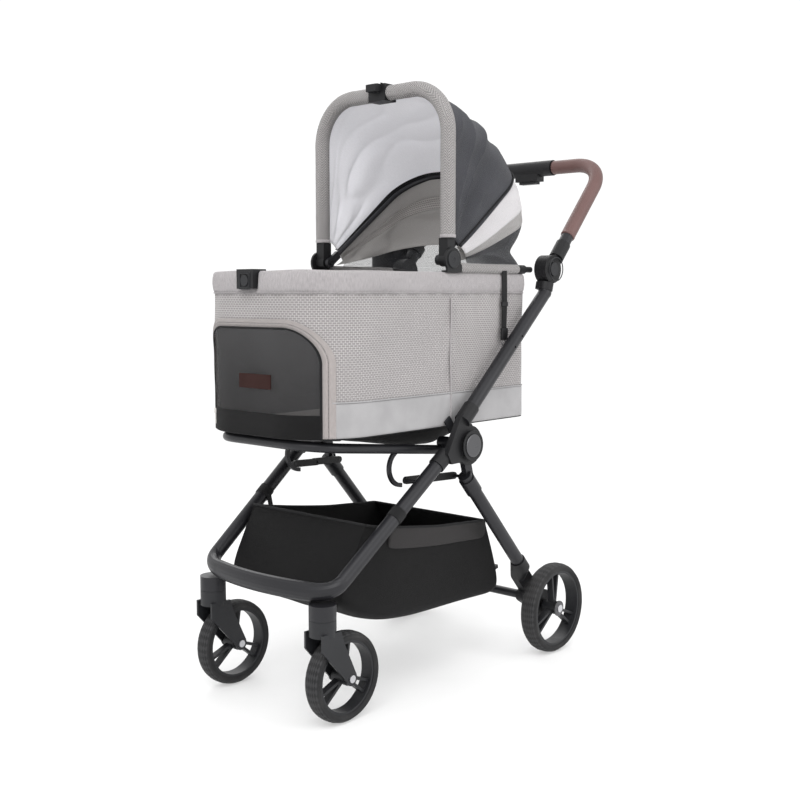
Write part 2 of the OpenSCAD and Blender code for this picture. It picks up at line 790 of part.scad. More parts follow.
// A fabric fan about the canopy's pivots, between two angles behind upright, from radius r0 out
module fan(r0, r, half_w, corner, a0, a1) {
    translate([0, 0, pivot_z]) rotate([0, 90, 0]) rotate([0, 0, 180 - a1])
        rotate_extrude(angle = a1 - a0, $fn = 96) difference() {
            fan_profile(r0, r, half_w, corner);
            fan_profile(r0 - 1, r - cloth_t, half_w - cloth_t, corner - cloth_t);
        }
}

module fan_profile(r0, r, half_w, corner) {
    for (s = [-1, 1]) translate([r - corner, s * (half_w - corner)]) circle(r = corner);
    translate([r0, -half_w]) square([r - corner - r0, 2 * half_w]);
    translate([r - corner, -half_w + corner]) square([corner, 2 * (half_w - corner)]);
}

module canopy_front() {
    color([0.2, 0.2, 0.21])
        fan(120, hoop_r + 3, hoop_x - 1, hoop_corner, 8, bow_angle - 1.5);
}

module canopy_rear() {
    color([0.85, 0.84, 0.83])
        fan(60, hoop_r + 4, hoop_x - 5, hoop_corner, bow_angle + 1.5, 86);
}

// ---- Folding brace ----

module link(a, b) {
    difference() {
        union() {
            side_strip(a, b, 14, 0, link_t);
            disc(a, 7, 0, link_t);
            disc(b, 7, 0, link_t);
        }
        disc(a, link_pin_r + run_gap, -1, link_t + 1);
        disc(b, link_pin_r + run_gap, -1, link_t + 1);
    }
}

module front_links() {
    color([0.1, 0.1, 0.11]) both_sides() translate([brace_x - link_t, 0, 0])
        link(brace_front, brace_mid);
}

module rear_links() {
    color([0.1, 0.1, 0.11]) both_sides() translate([brace_x + gap, 0, 0])
        link(brace_rear, brace_mid);
}

// ---- Handle ----

module in_handle() {
    translate([0, joint[0], joint[1]]) rotate([handle_angle, 0, 0]) children();
}

module handle_bar() {
    color([0.12, 0.12, 0.13]) in_handle()
        u_tube(handle_x, joint_r + 12, handle_l, handle_corner, handle_d / 2);
}

housing_w = 132;

module handle_grips() {
    color([0.34, 0.25, 0.23]) in_handle() difference() {
        union() {
            u_tube(handle_x, grip_start, handle_l, handle_corner, grip_d / 2);
        }
        u_tube(handle_x, grip_start - 40, handle_l, handle_corner, handle_d / 2 + run_gap);
        translate([-housing_w / 2 - 1, handle_l - 40, -40]) cube([housing_w + 2, 80, 80]);
    }
}

module handle_joints() {
    x0 = side_in + half_t + 0.3;
    color([0.13, 0.13, 0.14]) in_handle() both_sides() difference() {
        union() {
            disc([0, 0], joint_r, x0, x0 + half_t);
            disc([0, 0], pin_r, side_in + 2 + gap, x0 + 1);
            side_strip([0, 0], [joint_r + 14, 0], 26, x0, x0 + half_t);
            translate([handle_x, joint_r + 2, 0]) rotate([-90, 0, 0]) cylinder(d = grip_d, h = 40);
        }
        translate([handle_x, joint_r + 11, 0]) rotate([-90, 0, 0])
            cylinder(r = handle_d / 2 + run_gap, h = 60);
        disc([0, 0], 14 + gap, x0 + 6, x0 + half_t + 1);
    }
}

module joint_button(side) {
    x0 = side_in + half_t + 0.3;
    color([0.16, 0.16, 0.17]) on_side(side) disc(joint, 14, x0 + 10, x0 + half_t + 4);
}

trigger_w = 46;
crossbar_at = joint + handle_dir * handle_l;

// Housing round the middle of the crossbar, with a pocket below it for the fold trigger
module handle_housing() {
    color([0.08, 0.08, 0.09]) difference() {
        union() {
            disc(crossbar_at, grip_d / 2 + 2, -housing_w / 2, housing_w / 2);
            translate([-trigger_w / 2 - 8, crossbar_at[0] - 13, crossbar_at[1] - 28])
                cube([trigger_w + 16, 26, 28]);
        }
        disc(crossbar_at, handle_d / 2 + run_gap, -housing_w, housing_w);
        translate([-trigger_w / 2 - gap, crossbar_at[0] - 8.5 - gap, crossbar_at[1] - 29])
            cube([trigger_w + 2 * gap, 17 + 2 * gap, 12]);
    }
}

module fold_trigger() {
    color([0.2, 0.2, 0.21]) translate([-trigger_w / 2, crossbar_at[0] - 8.5, crossbar_at[1] - 34])
        cube([trigger_w, 17, 12.5]);
}

cup_low = joint_h - 45;
cup_h = 100;
cup_in_r = cup_d / 2 - 4;
cup_y = joint[0] + 16;

clamp_at = 58;

// Cup holder on a clamp round the right arm of the handle
module cup_holder() {
    arm = joint + handle_dir * (clamp_at + 10);
    color([0.08, 0.08, 0.09]) difference() {
        union() {
            translate([cup_x, cup_y, cup_low]) cylinder(d1 = cup_d - 3, d2 = cup_d, h = cup_h);
            in_handle() translate([-handle_x, clamp_at, 0]) rotate([-90, 0, 0])
                cylinder(r = grip_d / 2 + 3, h = 20);
            translate([cup_x + cup_d / 2 - 12, arm[0] - 9, arm[1] - 12])
                cube([handle_x * -1 - cup_x - cup_d / 2 + 4, 18, 20]);
        }
        translate([cup_x, cup_y, cup_low + 3]) cylinder(r = cup_in_r, h = cup_h);
        in_handle() translate([-handle_x, clamp_at - 8, 0]) rotate([-90, 0, 0])
            cylinder(r = grip_d / 2 + run_gap, h = 40);
    }
}

place() front_bar();
place() front_leg(1);  // front_leg_left
place() front_leg(-1);  // front_leg_right
place() hub(1);  // hub_left
place() hub(-1);  // hub_right
place() hub_pins();
place() upper_tube(1);  // upper_tube_left
place() upper_tube(-1);  // upper_tube_right
place() handle_socket(1);  // handle_socket_left
place() handle_socket(-1);  // handle_socket_right
place() caster_sleeve(1);  // caster_sleeve_left
place() caster_sleeve(-1);  // caster_sleeve_right
place() basket();
place() release_levers();
place() fork(1);  // fork_left
place() fork(-1);  // fork_right
place() front_axle(1);  // front_axle_left
place() front_axle(-1);  // front_axle_right
place() front_tyre(1);  // front_tyre_left
place() front_tyre(-1);  // front_tyre_right
place() front_wheel(1);  // front_wheel_left
place() front_wheel(-1);  // front_wheel_right
place() rear_leg(1);  // rear_leg_left
place() rear_leg(-1);  // rear_leg_right
place() rear_foot(1);  // rear_foot_left
place() rear_foot(-1);  // rear_foot_right
place() rear_crossbar();
place() rear_axles();
place() rear_tyre(1);  // rear_tyre_left
place() rear_tyre(-1);  // rear_tyre_right
place() rear_wheel(1);  // rear_wheel_left
place() rear_wheel(-1);  // rear_wheel_right
place() brake_pedal();
place() base_loop();
place() base_sling();
place() floor_pad();
place() carrier_walls();
place() door_flap();
place() zip_puller();
place() rim_band();
place() side_rails();
place() rim_fittings();
place() rim_buckle();
place() buckle_button();
place() rim_strap();
place() mid_bow();
place() canopy_rear();
place() hoop();
place() hoop_latch();
place() canopy_front();
place() front_links();
place() rear_links();
place() handle_bar();
place() handle_grips();
place() handle_joints();
place() handle_housing();
place() fold_trigger();
place() joint_button(1);  // joint_button_left
place() joint_button(-1);  // joint_button_right
place() cup_holder();
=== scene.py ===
# %% [markdown]
# A pet stroller: a fabric carrier with a swinging canopy on a folding tube frame. The frame,
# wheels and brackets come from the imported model. This script gives them their finishes and
# sews the soft goods: carrier walls, door, rim, canopy, basket, pad, sleeves and grips.
# First the camera, because it fixes what has to be seen.

# %% The frame and the camera
import json
import math

import bmesh
import bpy
from mathutils import Matrix, Vector, noise


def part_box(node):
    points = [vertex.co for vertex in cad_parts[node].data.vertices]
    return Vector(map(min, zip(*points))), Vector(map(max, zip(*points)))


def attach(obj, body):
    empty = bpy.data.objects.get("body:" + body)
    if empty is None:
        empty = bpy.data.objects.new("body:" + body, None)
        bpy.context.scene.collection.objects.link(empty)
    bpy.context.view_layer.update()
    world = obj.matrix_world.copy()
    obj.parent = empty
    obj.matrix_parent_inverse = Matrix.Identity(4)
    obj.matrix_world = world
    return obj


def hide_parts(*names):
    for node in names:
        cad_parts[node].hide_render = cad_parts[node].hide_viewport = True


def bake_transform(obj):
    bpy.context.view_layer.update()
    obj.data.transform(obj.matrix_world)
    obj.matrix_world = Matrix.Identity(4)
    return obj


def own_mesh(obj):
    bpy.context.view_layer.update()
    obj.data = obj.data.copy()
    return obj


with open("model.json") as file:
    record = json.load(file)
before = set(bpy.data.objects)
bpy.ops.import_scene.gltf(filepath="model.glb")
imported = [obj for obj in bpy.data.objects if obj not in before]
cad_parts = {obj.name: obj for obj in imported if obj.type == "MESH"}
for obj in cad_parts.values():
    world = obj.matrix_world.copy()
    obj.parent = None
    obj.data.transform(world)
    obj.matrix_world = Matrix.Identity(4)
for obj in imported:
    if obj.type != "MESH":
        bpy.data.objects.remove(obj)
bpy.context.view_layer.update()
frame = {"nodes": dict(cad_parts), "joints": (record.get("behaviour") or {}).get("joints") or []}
joints = {j["name"]: j for j in frame["joints"]}
pivot = Vector(joints["hoop_swing"]["pos_m"])
MID, PIVOT_Y, PIVOT_Z = pivot
BOTH = ((1, "left"), (-1, "right"))


def clear():
    """Deselects everything, because an operator acts on all that is selected."""
    for thing in bpy.context.selected_objects:
        thing.select_set(False)


clear()


def at(x, y, z):
    """A point from the middle plane, from the canopy's pivot line and from the ground."""
    return Vector((MID + x, PIVOT_Y + y, z))


camera = bpy.data.objects.new("camera", bpy.data.cameras.new("camera"))
bpy.context.collection.objects.link(camera)
camera.data.lens = 50.02
camera.location = at(1.5185, -1.645, 0.766)
camera.rotation_euler = Vector((-0.6635, 0.7420, -0.0958)).to_track_quat("-Z", "Y").to_euler()
bpy.context.scene.camera = camera
print("the canopy turns about", tuple(round(x, 4) for x in pivot))

# %% [markdown]
# A product studio is mostly large soft lamps and a bright sweep. One big lamp above and in front
# gives the shapes their light side, a weaker one opens the shadows, and the pale world fills in.

# %% Floor and lamps
bpy.ops.mesh.primitive_plane_add(size=14, location=(0, 0, 0))
floor = bpy.context.object
floor.name = "floor"


def lamp(name, spot, aim, size, watts):
    """A square soft lamp at spot that shines towards aim."""
    light = bpy.data.lights.new(name, "AREA")
    light.size = size
    light.energy = watts
    holder = bpy.data.objects.new(name, light)
    bpy.context.collection.objects.link(holder)
    holder.location = spot
    holder.rotation_euler = (Vector(aim) - Vector(spot)).to_track_quat("-Z", "Y").to_euler()


lamp("key", (1.2, -2.2, 2.9), (0, 0, 0.6), 2.4, 58)
lamp("fill", (3.0, 0.6, 1.6), (0, 0, 0.6), 2.2, 26)
lamp("back", (-2.2, 1.6, 2.6), (0, 0, 0.8), 2.0, 30)
bpy.context.scene.view_settings.view_transform = "Standard"
world = bpy.data.worlds.new("studio")
bpy.context.scene.world = world
world.use_nodes = True
world.node_tree.nodes["Background"].inputs["Color"].default_value = (1.0, 1.0, 1.0, 1)
world.node_tree.nodes["Background"].inputs["Strength"].default_value = 1.06

# %% [markdown]
# Every finish is drawn by shader nodes. Writing node links by hand is hard to read, so a small
# class wraps one socket and lets Python's operators add the Math nodes. A finish is one material
# with its Principled shader, and one method that adds any other node.


# %% Shader maths as Python
class Number:
    """A number that changes over the surface."""

    def __init__(self, finish, socket):
        self.finish = finish
        self.socket = socket

    def math(self, operation, *others):
        values = dict(enumerate((self, *others)))
        return self.finish.node("ShaderNodeMath", {"operation": operation}, values)

    def __add__(self, other):
        return self.math("ADD", other)

    def __sub__(self, other):
        return self.math("SUBTRACT", other)

    def __mul__(self, other):
        return self.math("MULTIPLY", other)

    def __truediv__(self, other):
        return self.math("DIVIDE", other)

    def __rsub__(self, other):
        return self.finish.node("ShaderNodeMath", {"operation": "SUBTRACT"}, {0: other, 1: self})

    __radd__ = __add__
    __rmul__ = __mul__

    def over(self, edge, soft=0.1):
        """0 below edge and 1 above it, smoothly within soft."""
        ends = {"Value": self, "From Min": edge - soft, "From Max": edge + soft}
        return self.finish.node("ShaderNodeMapRange", {"interpolation_type": "SMOOTHSTEP"}, ends)


class Finish:
    """One material: its constants are set here, and what varies is linked."""

    def __init__(self, name, color=(0.5, 0.5, 0.5), rough=0.6, **constants):
        self.material = bpy.data.materials.new(name)
        self.material.use_nodes = True
        self.tree = self.material.node_tree
        self.shader = self.tree.nodes["Principled BSDF"]
        self.set(**{"Base Color": color, "Roughness": rough, **constants})

    def feed(self, socket, value):
        if isinstance(value, Number):
            self.tree.links.new(value.socket, socket)
        elif hasattr(value, "__len__") and len(value) == 3 and socket.type == "RGBA":
            socket.default_value = (*value, 1)
        else:
            socket.default_value = value

    def set(self, **sockets):
        for name, value in sockets.items():
            self.feed(self.shader.inputs[name], value)
        return self

    def node(self, kind, settings=None, inputs=None, out=0):
        new = self.tree.nodes.new(kind)
        for key, value in (settings or {}).items():
            setattr(new, key, value)
        for key, value in (inputs or {}).items():
            self.feed(new.inputs[key], value)
        return Number(self, new.outputs[out])

    def mix(self, share, a, b):
        """Colour a where share is 0, b where it is 1."""
        return self.node("ShaderNodeMix", {"data_type": "RGBA"}, {0: share, 6: a, 7: b}, 2)

    def cloth(self):
        """Metres along and across the cloth, from the piece's own map."""
        place = self.node("ShaderNodeUVMap", {"uv_map": "cloth"})
        parts = self.tree.nodes.new("ShaderNodeSeparateXYZ")
        self.tree.links.new(place.socket, parts.inputs[0])
        return Number(self, parts.outputs[0]), Number(self, parts.outputs[1])

    def place(self, middle=(0, 0, 0)):
        """Metres from middle along the three axes."""
        spot = self.node("ShaderNodeTexCoord", out=3)
        moved = self.node("ShaderNodeMapping", inputs={"Vector": spot, "Location": [-m for m in middle]})
        parts = self.tree.nodes.new("ShaderNodeSeparateXYZ")
        self.tree.links.new(moved.socket, parts.inputs[0])
        return [Number(self, parts.outputs[i]) for i in range(3)]

    def grain(self, scale, detail=3.0, stretch=(1, 1, 1), on_cloth=False):
        """Even noise, scale spots a metre, on the piece or on its cloth map."""
        if on_cloth:
            spot = self.node("ShaderNodeUVMap", {"uv_map": "cloth"})
        else:
            spot = self.node("ShaderNodeTexCoord", out=3)
        spot = self.node("ShaderNodeMapping", inputs={"Vector": spot, "Scale": stretch})
        return self.node("ShaderNodeTexNoise", inputs={"Vector": spot, "Scale": scale, "Detail": detail})

    def bump(self, height, depth, under=None):
        """Raised where height is high, by depth metres."""
        links = {"Height": height, "Distance": depth, "Strength": 1.0}
        if under is not None:
            links["Normal"] = under
        normal = self.node("ShaderNodeBump", inputs=links)
        self.set(Normal=normal)
        return normal


# %% [markdown]
# The rigid finishes: powder-coated tube, moulded plastic, bare steel and rubber. Powder coat has
# an orange-peel skin, moulded plastic a fine spark texture, and both are a little lighter where
# hands and dust have been, so each gets grain in its roughness and its colour.


# %% Rigid finishes
def coated(name, color, rough, skin, depth, metal=0.0, wear=0.25, shine=0.3):
    """Paint or plastic with a fine skin and slow changes of colour."""
    finish = Finish(name, color, rough, Metallic=metal, **{"Specular IOR Level": shine})
    slow = finish.grain(9.0, 4.0)
    fine = finish.grain(skin, 2.0)
    pale = tuple(c * (1 + wear) + 0.002 for c in color)
    finish.set(**{"Base Color": finish.mix(slow.over(0.55, 0.25), color, pale)})
    finish.set(Roughness=slow * 0.12 + fine * 0.08 + (rough - 0.1))
    finish.bump(fine, depth)
    return finish


tube_paint = coated("tube_paint", (0.0135, 0.0135, 0.016), 0.40, 900.0, 0.00012, metal=0.2, shine=0.42)
black_plastic = coated("black_plastic", (0.0075, 0.0075, 0.0085), 0.5, 1500.0, 0.00015)
grey_plastic = coated("grey_plastic", (0.0145, 0.015, 0.017), 0.45, 1300.0, 0.00012)
floor_paint = coated("floor_paint", (0.92, 0.92, 0.92), 0.9, 60.0, 0.0001, wear=0.02)
x, y, z = floor_paint.place()
away = (x * x + y * y).math("SQRT").over(1.6, 0.9)
floor_paint.set(Alpha=0.62 - away * 0.62)
floor.data.materials.append(floor_paint.material)


def brushed(name, color, along):
    """Bare metal with fine lines along one axis."""
    finish = Finish(name, color, 0.3, Metallic=1.0)
    stretch = [260.0, 260.0, 260.0]
    stretch[along] = 4.0
    lines = finish.grain(3.0, 4.0, stretch)
    finish.set(Roughness=lines * 0.25 + 0.2)
    finish.bump(lines, 0.00005)
    return finish


steel = brushed("steel", (0.55, 0.55, 0.57), 0)
dark_steel = brushed("dark_steel", (0.2, 0.2, 0.21), 1)
disc_steel = brushed("disc_steel", (0.12, 0.12, 0.125), 1)


def tread(name, middle, radius):
    """Rubber with a knurled diamond tread, which follows the wheel round its axle."""
    finish = Finish(name, (0.03, 0.03, 0.032), 0.75, **{"Specular IOR Level": 0.3})
    x, y, z = finish.place(middle)
    turn = z.math("ARCTAN2", y) * (radius * 230.0)
    across = x * 700.0
    a = (turn + across).math("SINE")
    b = (turn - across).math("SINE")
    far = (y * y + z * z).math("SQRT").over(radius - 0.0045, 0.0012)
    stud = (a * b).over(0.0, 0.35)
    fine = finish.grain(700.0)
    dust = finish.grain(14.0, 3.0)
    rubber = finish.mix(stud * far, (0.014, 0.014, 0.015), (0.036, 0.036, 0.038))
    finish.set(**{"Base Color": finish.mix(dust.over(0.6, 0.2) * 0.5, rubber, (0.055, 0.053, 0.052))})
    finish.set(Roughness=fine * 0.2 + 0.62)
    finish.bump(stud * far + fine * 0.12, 0.0009)
    return finish


def middle_of(node):
    low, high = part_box(node)
    return [(a + b) / 2 for a, b in zip(low, high)]


def paint(finish, *nodes):
    """Gives CAD nodes their finish."""
    for name in nodes:
        thing = frame["nodes"][name]
        thing = bpy.data.objects[thing] if isinstance(thing, str) else thing
        for slot in thing.material_slots:
            slot.material = finish.material
        if not thing.material_slots:
            thing.data.materials.append(finish.material)


for side in ("left", "right"):
    paint(tube_paint, f"front_leg_{side}", f"upper_tube_{side}", f"rear_leg_{side}", f"caster_sleeve_{side}")
    paint(black_plastic, f"hub_{side}", f"handle_socket_{side}", f"rear_foot_{side}")
    paint(grey_plastic, f"fork_{side}", f"joint_button_{side}")
    paint(steel, f"front_axle_{side}")
    for end in ("front", "rear"):
        low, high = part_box(f"{end}_tyre_{side}")
        radius = (high[2] - low[2]) / 2
        rubber = tread(f"{end}_tread_{side}", middle_of(f"{end}_tyre_{side}"), radius)
        paint(rubber, f"{end}_tyre_{side}")
        paint(grey_plastic, f"{end}_wheel_{side}")
paint(tube_paint, "front_bar", "rear_crossbar", "base_loop", "mid_bow", "handle_bar")
paint(black_plastic, "handle_joints", "handle_housing", "cup_holder", "rim_fittings", "hoop")
paint(black_plastic, "rim_buckle", "hoop_latch", "front_links", "rear_links", "brake_pedal")
paint(grey_plastic, "buckle_button", "fold_trigger", "release_levers")
paint(steel, "hub_pins", "rear_axles")
print("rigid nodes have their finishes")

# %% [markdown]
# Cloth comes as rows of points. A sewing helper turns the rows into one mesh and gives every
# face corner its place on the flat cloth, in metres, so that weaves keep their real size. On the
# real object each panel is cut flat and sewn, and this is the same idea: one mesh a panel.


# %% Sewing helpers
def sewn(name, rows, cloth, finishes, inside, loop=0.0, leave_out=None):
    """A sheet from rows of points. loop is the length round, where the columns close."""
    wide = len(rows[0])
    faces, spots = [], []
    for j in range(len(rows) - 1):
        for i in range(wide if loop else wide - 1):
            k = (i + 1) % wide
            ring = loop if k == 0 else 0.0
            corners = ((j, i, 0.0), (j, k, ring), (j + 1, k, ring), (j + 1, i, 0.0))
            flat = [(cloth[r][c][0] + more, cloth[r][c][1]) for r, c, more in corners]
            if leave_out and leave_out(sum(u for u, v in flat) / 4, sum(v for u, v in flat) / 4):
                continue
            faces.append([r * wide + c for r, c, more in corners])
            spots += flat
    mesh = bpy.data.meshes.new(name)
    mesh.from_pydata([p for row in rows for p in row], [], faces)
    layer = mesh.uv_layers.new(name="cloth")
    for corner, spot in zip(layer.data, spots):
        corner.uv = spot
    shape = bmesh.new()
    shape.from_mesh(mesh)
    bmesh.ops.delete(shape, geom=[v for v in shape.verts if not v.link_faces], context="VERTS")
    bmesh.ops.remove_doubles(shape, verts=shape.verts, dist=1e-6)
    facing = sum(f.normal.dot(f.calc_center_median() - inside(f.calc_center_median())) for f in shape.faces)
    if facing < 0:
        bmesh.ops.reverse_faces(shape, faces=shape.faces)
    shape.to_mesh(mesh)
    shape.free()
    mesh.shade_smooth()
    for finish in finishes:
        mesh.materials.append(finish.material)
    piece = bpy.data.objects.new(name, mesh)
    bpy.context.collection.objects.link(piece)
    return piece


def modify(piece, kind, **settings):
    """Adds a modifier and applies it."""
    bpy.context.view_layer.objects.active = piece
    extra = piece.modifiers.new(kind.lower(), kind)
    for key, value in settings.items():
        setattr(extra, key, value)
    bpy.ops.object.modifier_apply(modifier=extra.name)
    return piece


def thick(piece, depth, lining=False):
    """Gives a sheet its thickness, inwards, with the second finish inside."""
    inner = 1 if lining else 0
    return modify(piece, "SOLIDIFY", thickness=depth, offset=-1.0, material_offset=inner)


def hose(name, path, radius, finish, inside=None, sides=12, flat=1.0, closed=False, body=None):
    """A round or flattened tube along a path; radius may change along it."""
    rows, cloth, along = [], [], 0.0
    count = len(path)
    normal = None
    for n, p in enumerate(path):
        before = path[n - 1] if n or closed else p
        after = path[(n + 1) % count] if n < count - 1 or closed else p
        tangent = (after - before).normalized()
        if normal is None:
            normal = tangent.orthogonal().normalized()
            if inside is not None:
                normal = (inside - inside.dot(tangent) * tangent).normalized()
        normal = (normal - normal.dot(tangent) * tangent).normalized()
        across = tangent.cross(normal)
        r = radius(n / (count - 1)) if callable(radius) else radius
        along += (p - path[n - 1]).length if n else 0.0
        turns = [2 * math.pi * i / sides for i in range(sides)]
        rows.append([p + normal * (math.cos(a) * r * flat) + across * (math.sin(a) * r) for a in turns])
        cloth.append([(a * r, along) for a in turns])
    nearest = lambda c: min(path, key=lambda q: (q - c).length)
    wide = radius(0.5) if callable(radius) else radius
    if closed:
        rows.append(rows[0])
        cloth.append([(u, along + (path[0] - path[-1]).length) for u, v in cloth[0]])
    piece = sewn(name, rows, cloth, [finish], nearest, loop=2 * math.pi * wide)
    if not closed:
        shape = bmesh.new()
        shape.from_mesh(piece.data)
        bmesh.ops.holes_fill(shape, edges=[e for e in shape.edges if e.is_boundary], sides=sides + 1)
        shape.to_mesh(piece.data)
        shape.free()
        modify(piece, "BEVEL", width=wide * 0.25, segments=2, limit_method="ANGLE", angle_limit=1.2)
    if body:
        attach(piece, body)
    return piece


def span(piece, share):
    """Bakes the piece's placement into its mesh; share of a point, 0 on the first body and 1 on the second,
    is worked out but not kept.
    """
    at(0, 0, 0.5)
    at(0, 0, 0.8)
    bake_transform(piece)
    values = [min(1.0, max(0.0, share(v.co))) for v in piece.data.vertices]
    return piece


def ripple(*where):
    return noise.noise(Vector(where))


print("sewing helpers are ready")

# %% [markdown]
# The fabrics. A weave is two sets of waves at right angles on the cloth's own map. The walls are
# a knitted spacer mesh of rounded rectangles, the band below is coated cloth like leather, the
# rim is a heather weave whose threads change in colour, and the canopy is a dark fine mesh.


# %% Fabric finishes
def woven(
    name, color, pitch, rough=0.85, heather=0.0, sheen=0.3, depth=0.0004, herringbone=0.0, glow=0.0,
    contrast=0.3,
):
    """Plain cloth: threads of the given pitch, uneven in colour by heather.

    glow is a little light of its own, which stands in for daylight that comes through thin cloth.
    """
    finish = Finish(name, color, rough, **{"Sheen Weight": sheen, "Sheen Roughness": 0.5})
    finish.set(**{"Specular IOR Level": 0.2, "Emission Color": color, "Emission Strength": glow})
    u, v = finish.cloth()
    turn = 2 * math.pi / pitch
    if herringbone:
        zig = (u * (math.pi / herringbone)).math("SINE").math("ARCSINE") * (herringbone * 0.5)
        v = v + zig
        threads = (v * turn).math("SINE")
    else:
        threads = (u * turn).math("SINE") * (v * turn).math("SINE")
    slub = finish.grain(420.0, 3.0, (1.0, 0.25, 1.0), on_cloth=True)
    slow = finish.grain(16.0, 3.0)
    dark = tuple(c * (0.72 - heather * 0.3 - (contrast - 0.3)) for c in color)
    pale = tuple(min(1.0, c * (1.06 + heather * 0.25)) for c in color)
    shade = threads * contrast + slub * (0.5 + heather) + slow * 0.3 + (0.1 - heather * 0.5)
    finish.set(**{"Base Color": finish.mix(shade.math("MINIMUM", 1.0), dark, pale)})
    finish.set(Roughness=threads * 0.05 + (rough - 0.03))
    finish.bump(threads + slub * 0.6, depth)
    return finish


def spacer(name, color, deep, wide, high):
    """Spacer mesh: rows of shifted, rounded cells with a pale rim and a shaded middle."""
    finish = Finish(name, color, 0.8, **{"Sheen Weight": 0.2})
    u, v = finish.cloth()
    row = (v * (1 / high)).math("FLOOR")
    shift = (row * 0.5).math("FRACT")
    x = ((u * (1 / wide) + shift).math("FRACT") - 0.5).math("ABSOLUTE") * 2
    y = ((v * (1 / high)).math("FRACT") - 0.5).math("ABSOLUTE") * 2
    rim = (x.math("POWER", 5.0) + y.math("POWER", 3.0)).over(0.62, 0.4)
    slow = finish.grain(12.0, 3.0)
    fuzz = finish.grain(900.0, 2.0)
    pale = tuple(min(1.0, c * 1.12) for c in color)
    top = finish.mix(slow.over(0.5, 0.3), color, pale)
    finish.set(**{"Base Color": finish.mix(rim, deep, top)})
    finish.set(Roughness=fuzz * 0.1 + 0.75)
    finish.bump(rim + fuzz * 0.12, 0.0009)
    return finish


def net(name, color, pitch, open_share, thin_side=0.0):
    """Fine net with square holes, which let more light by on the side where it is one layer."""
    finish = Finish(name, color, 0.7, **{"Sheen Weight": 0.06, "Specular IOR Level": 0.15})
    u, v = finish.cloth()
    a = (u * (math.pi / pitch)).math("SINE").math("ABSOLUTE")
    b = (v * (math.pi / pitch)).math("SINE").math("ABSOLUTE")
    hole = (a * b).over(0.4, 0.35)
    slow = finish.grain(14.0, 3.0)
    pale = tuple(c * 1.4 + 0.004 for c in color)
    finish.set(**{"Base Color": finish.mix(slow.over(0.55, 0.3), color, pale)})
    share = open_share
    if thin_side:
        share = open_share + (0.05 - u).over(0.0, 0.04) * (thin_side - open_share)
    finish.set(Alpha=1.0 - hole * share)
    finish.bump(1.0 - hole, 0.0003)
    return finish


def leather(name, color, rough, seam=None, depth=0.0005, stitch=(0.3, 0.25, 0.22), shine=0.5):
    """Leather or coated cloth: pebbled grain, and a stitched seam where seam says."""
    finish = Finish(name, color, rough, **{"Specular IOR Level": shine})
    u, v = finish.cloth()
    pebble = finish.grain(650.0, 3.0)
    slow = finish.grain(18.0, 4.0)
    pale = tuple(min(1.0, c * 1.18 + 0.004) for c in color)
    base = finish.mix(slow.over(0.5, 0.25), color, pale)
    height = pebble * 0.5
    if seam is not None:
        near = (u - seam).math("ABSOLUTE")
        groove = 1.0 - near.over(0.0009, 0.0007)
        line = 1.0 - (near - 0.0032).math("ABSOLUTE").over(0.0006, 0.0004)
        dash = (v * (math.pi / 0.0045)).math("SINE").math("ABSOLUTE").over(0.35, 0.15)
        base = finish.mix(line * dash, base, stitch)
        height = height + line * dash * 0.8 - groove * 1.6
    finish.set(**{"Base Color": base})
    finish.set(Roughness=pebble * 0.16 + slow * 0.1 + (rough - 0.12))
    finish.bump(height, depth)
    return finish


wall_mesh = spacer("wall_mesh", (0.54, 0.515, 0.515), (0.25, 0.235, 0.235), 0.0078, 0.0040)
strip_mesh = spacer("strip_mesh", (0.62, 0.60, 0.58), (0.30, 0.28, 0.27), 0.0060, 0.0050)
lining = woven("lining", (0.50, 0.50, 0.51), 0.0011, sheen=0.2)
coated_band = leather("coated_band", (0.30, 0.295, 0.30), 0.5, depth=0.0003, shine=0.35)
rim_weave = woven("rim_weave", (0.60, 0.565, 0.575), 0.0012, heather=0.5, depth=0.0005)
sleeve_weave = woven(
    "sleeve_weave", (0.60, 0.57, 0.565), 0.0052, heather=0.3, depth=0.0018, herringbone=0.0075, contrast=0.6
)
door_net = net("door_net", (0.008, 0.0075, 0.008), 0.0016, 0.75)
canopy_net = net("canopy_net", (0.033, 0.034, 0.04), 0.0021, 0.15)
rear_net = net("rear_net", (0.026, 0.027, 0.031), 0.0021, 0.35, thin_side=1.0)
pearl_cloth = woven("pearl_cloth", (0.72, 0.70, 0.715), 0.0012, rough=0.5, sheen=0.3, depth=0.0002)
knit_cloth = woven("knit_cloth", (0.60, 0.575, 0.565), 0.0046, heather=0.3, depth=0.0016, contrast=0.5)
grey_lining = woven("grey_lining", (0.34, 0.325, 0.315), 0.0011, sheen=0.3, glow=0.22)
pale_lining = woven("pale_lining", (0.74, 0.735, 0.765), 0.0011, rough=0.7, depth=0.0002, glow=0.38)
black_cloth = woven("black_cloth", (0.0065, 0.0062, 0.0068), 0.0011, rough=0.75, sheen=0.02)
webbing = woven("webbing", (0.012, 0.012, 0.013), 0.0022, rough=0.7, sheen=0.05, depth=0.0007)
binding = woven("binding", (0.012, 0.012, 0.0135), 0.0016, rough=0.8, sheen=0.05, depth=0.0005)
zip_tape = woven("zip_tape", (0.44, 0.40, 0.39), 0.0012, heather=0.15, depth=0.0003)
elastic = woven("elastic", (0.03, 0.027, 0.0275), 0.0024, rough=0.8, sheen=0.1, depth=0.0008)
grip_leather = leather("grip_leather", (0.108, 0.055, 0.050), 0.48, seam=0.0487, depth=0.0006)
patch_leather = leather("patch_leather", (0.024, 0.0085, 0.007), 0.6, depth=0.0005, shine=0.1)
print("fabrics:", len(bpy.data.materials))

# %% [markdown]
# The carrier is a soft box with rounded corners. Every row of its cloth follows the same outline,
# so one function walks round it by length, from the middle of the front. Cloth is then cut in
# real lengths: a weave runs round the corners without stretching.


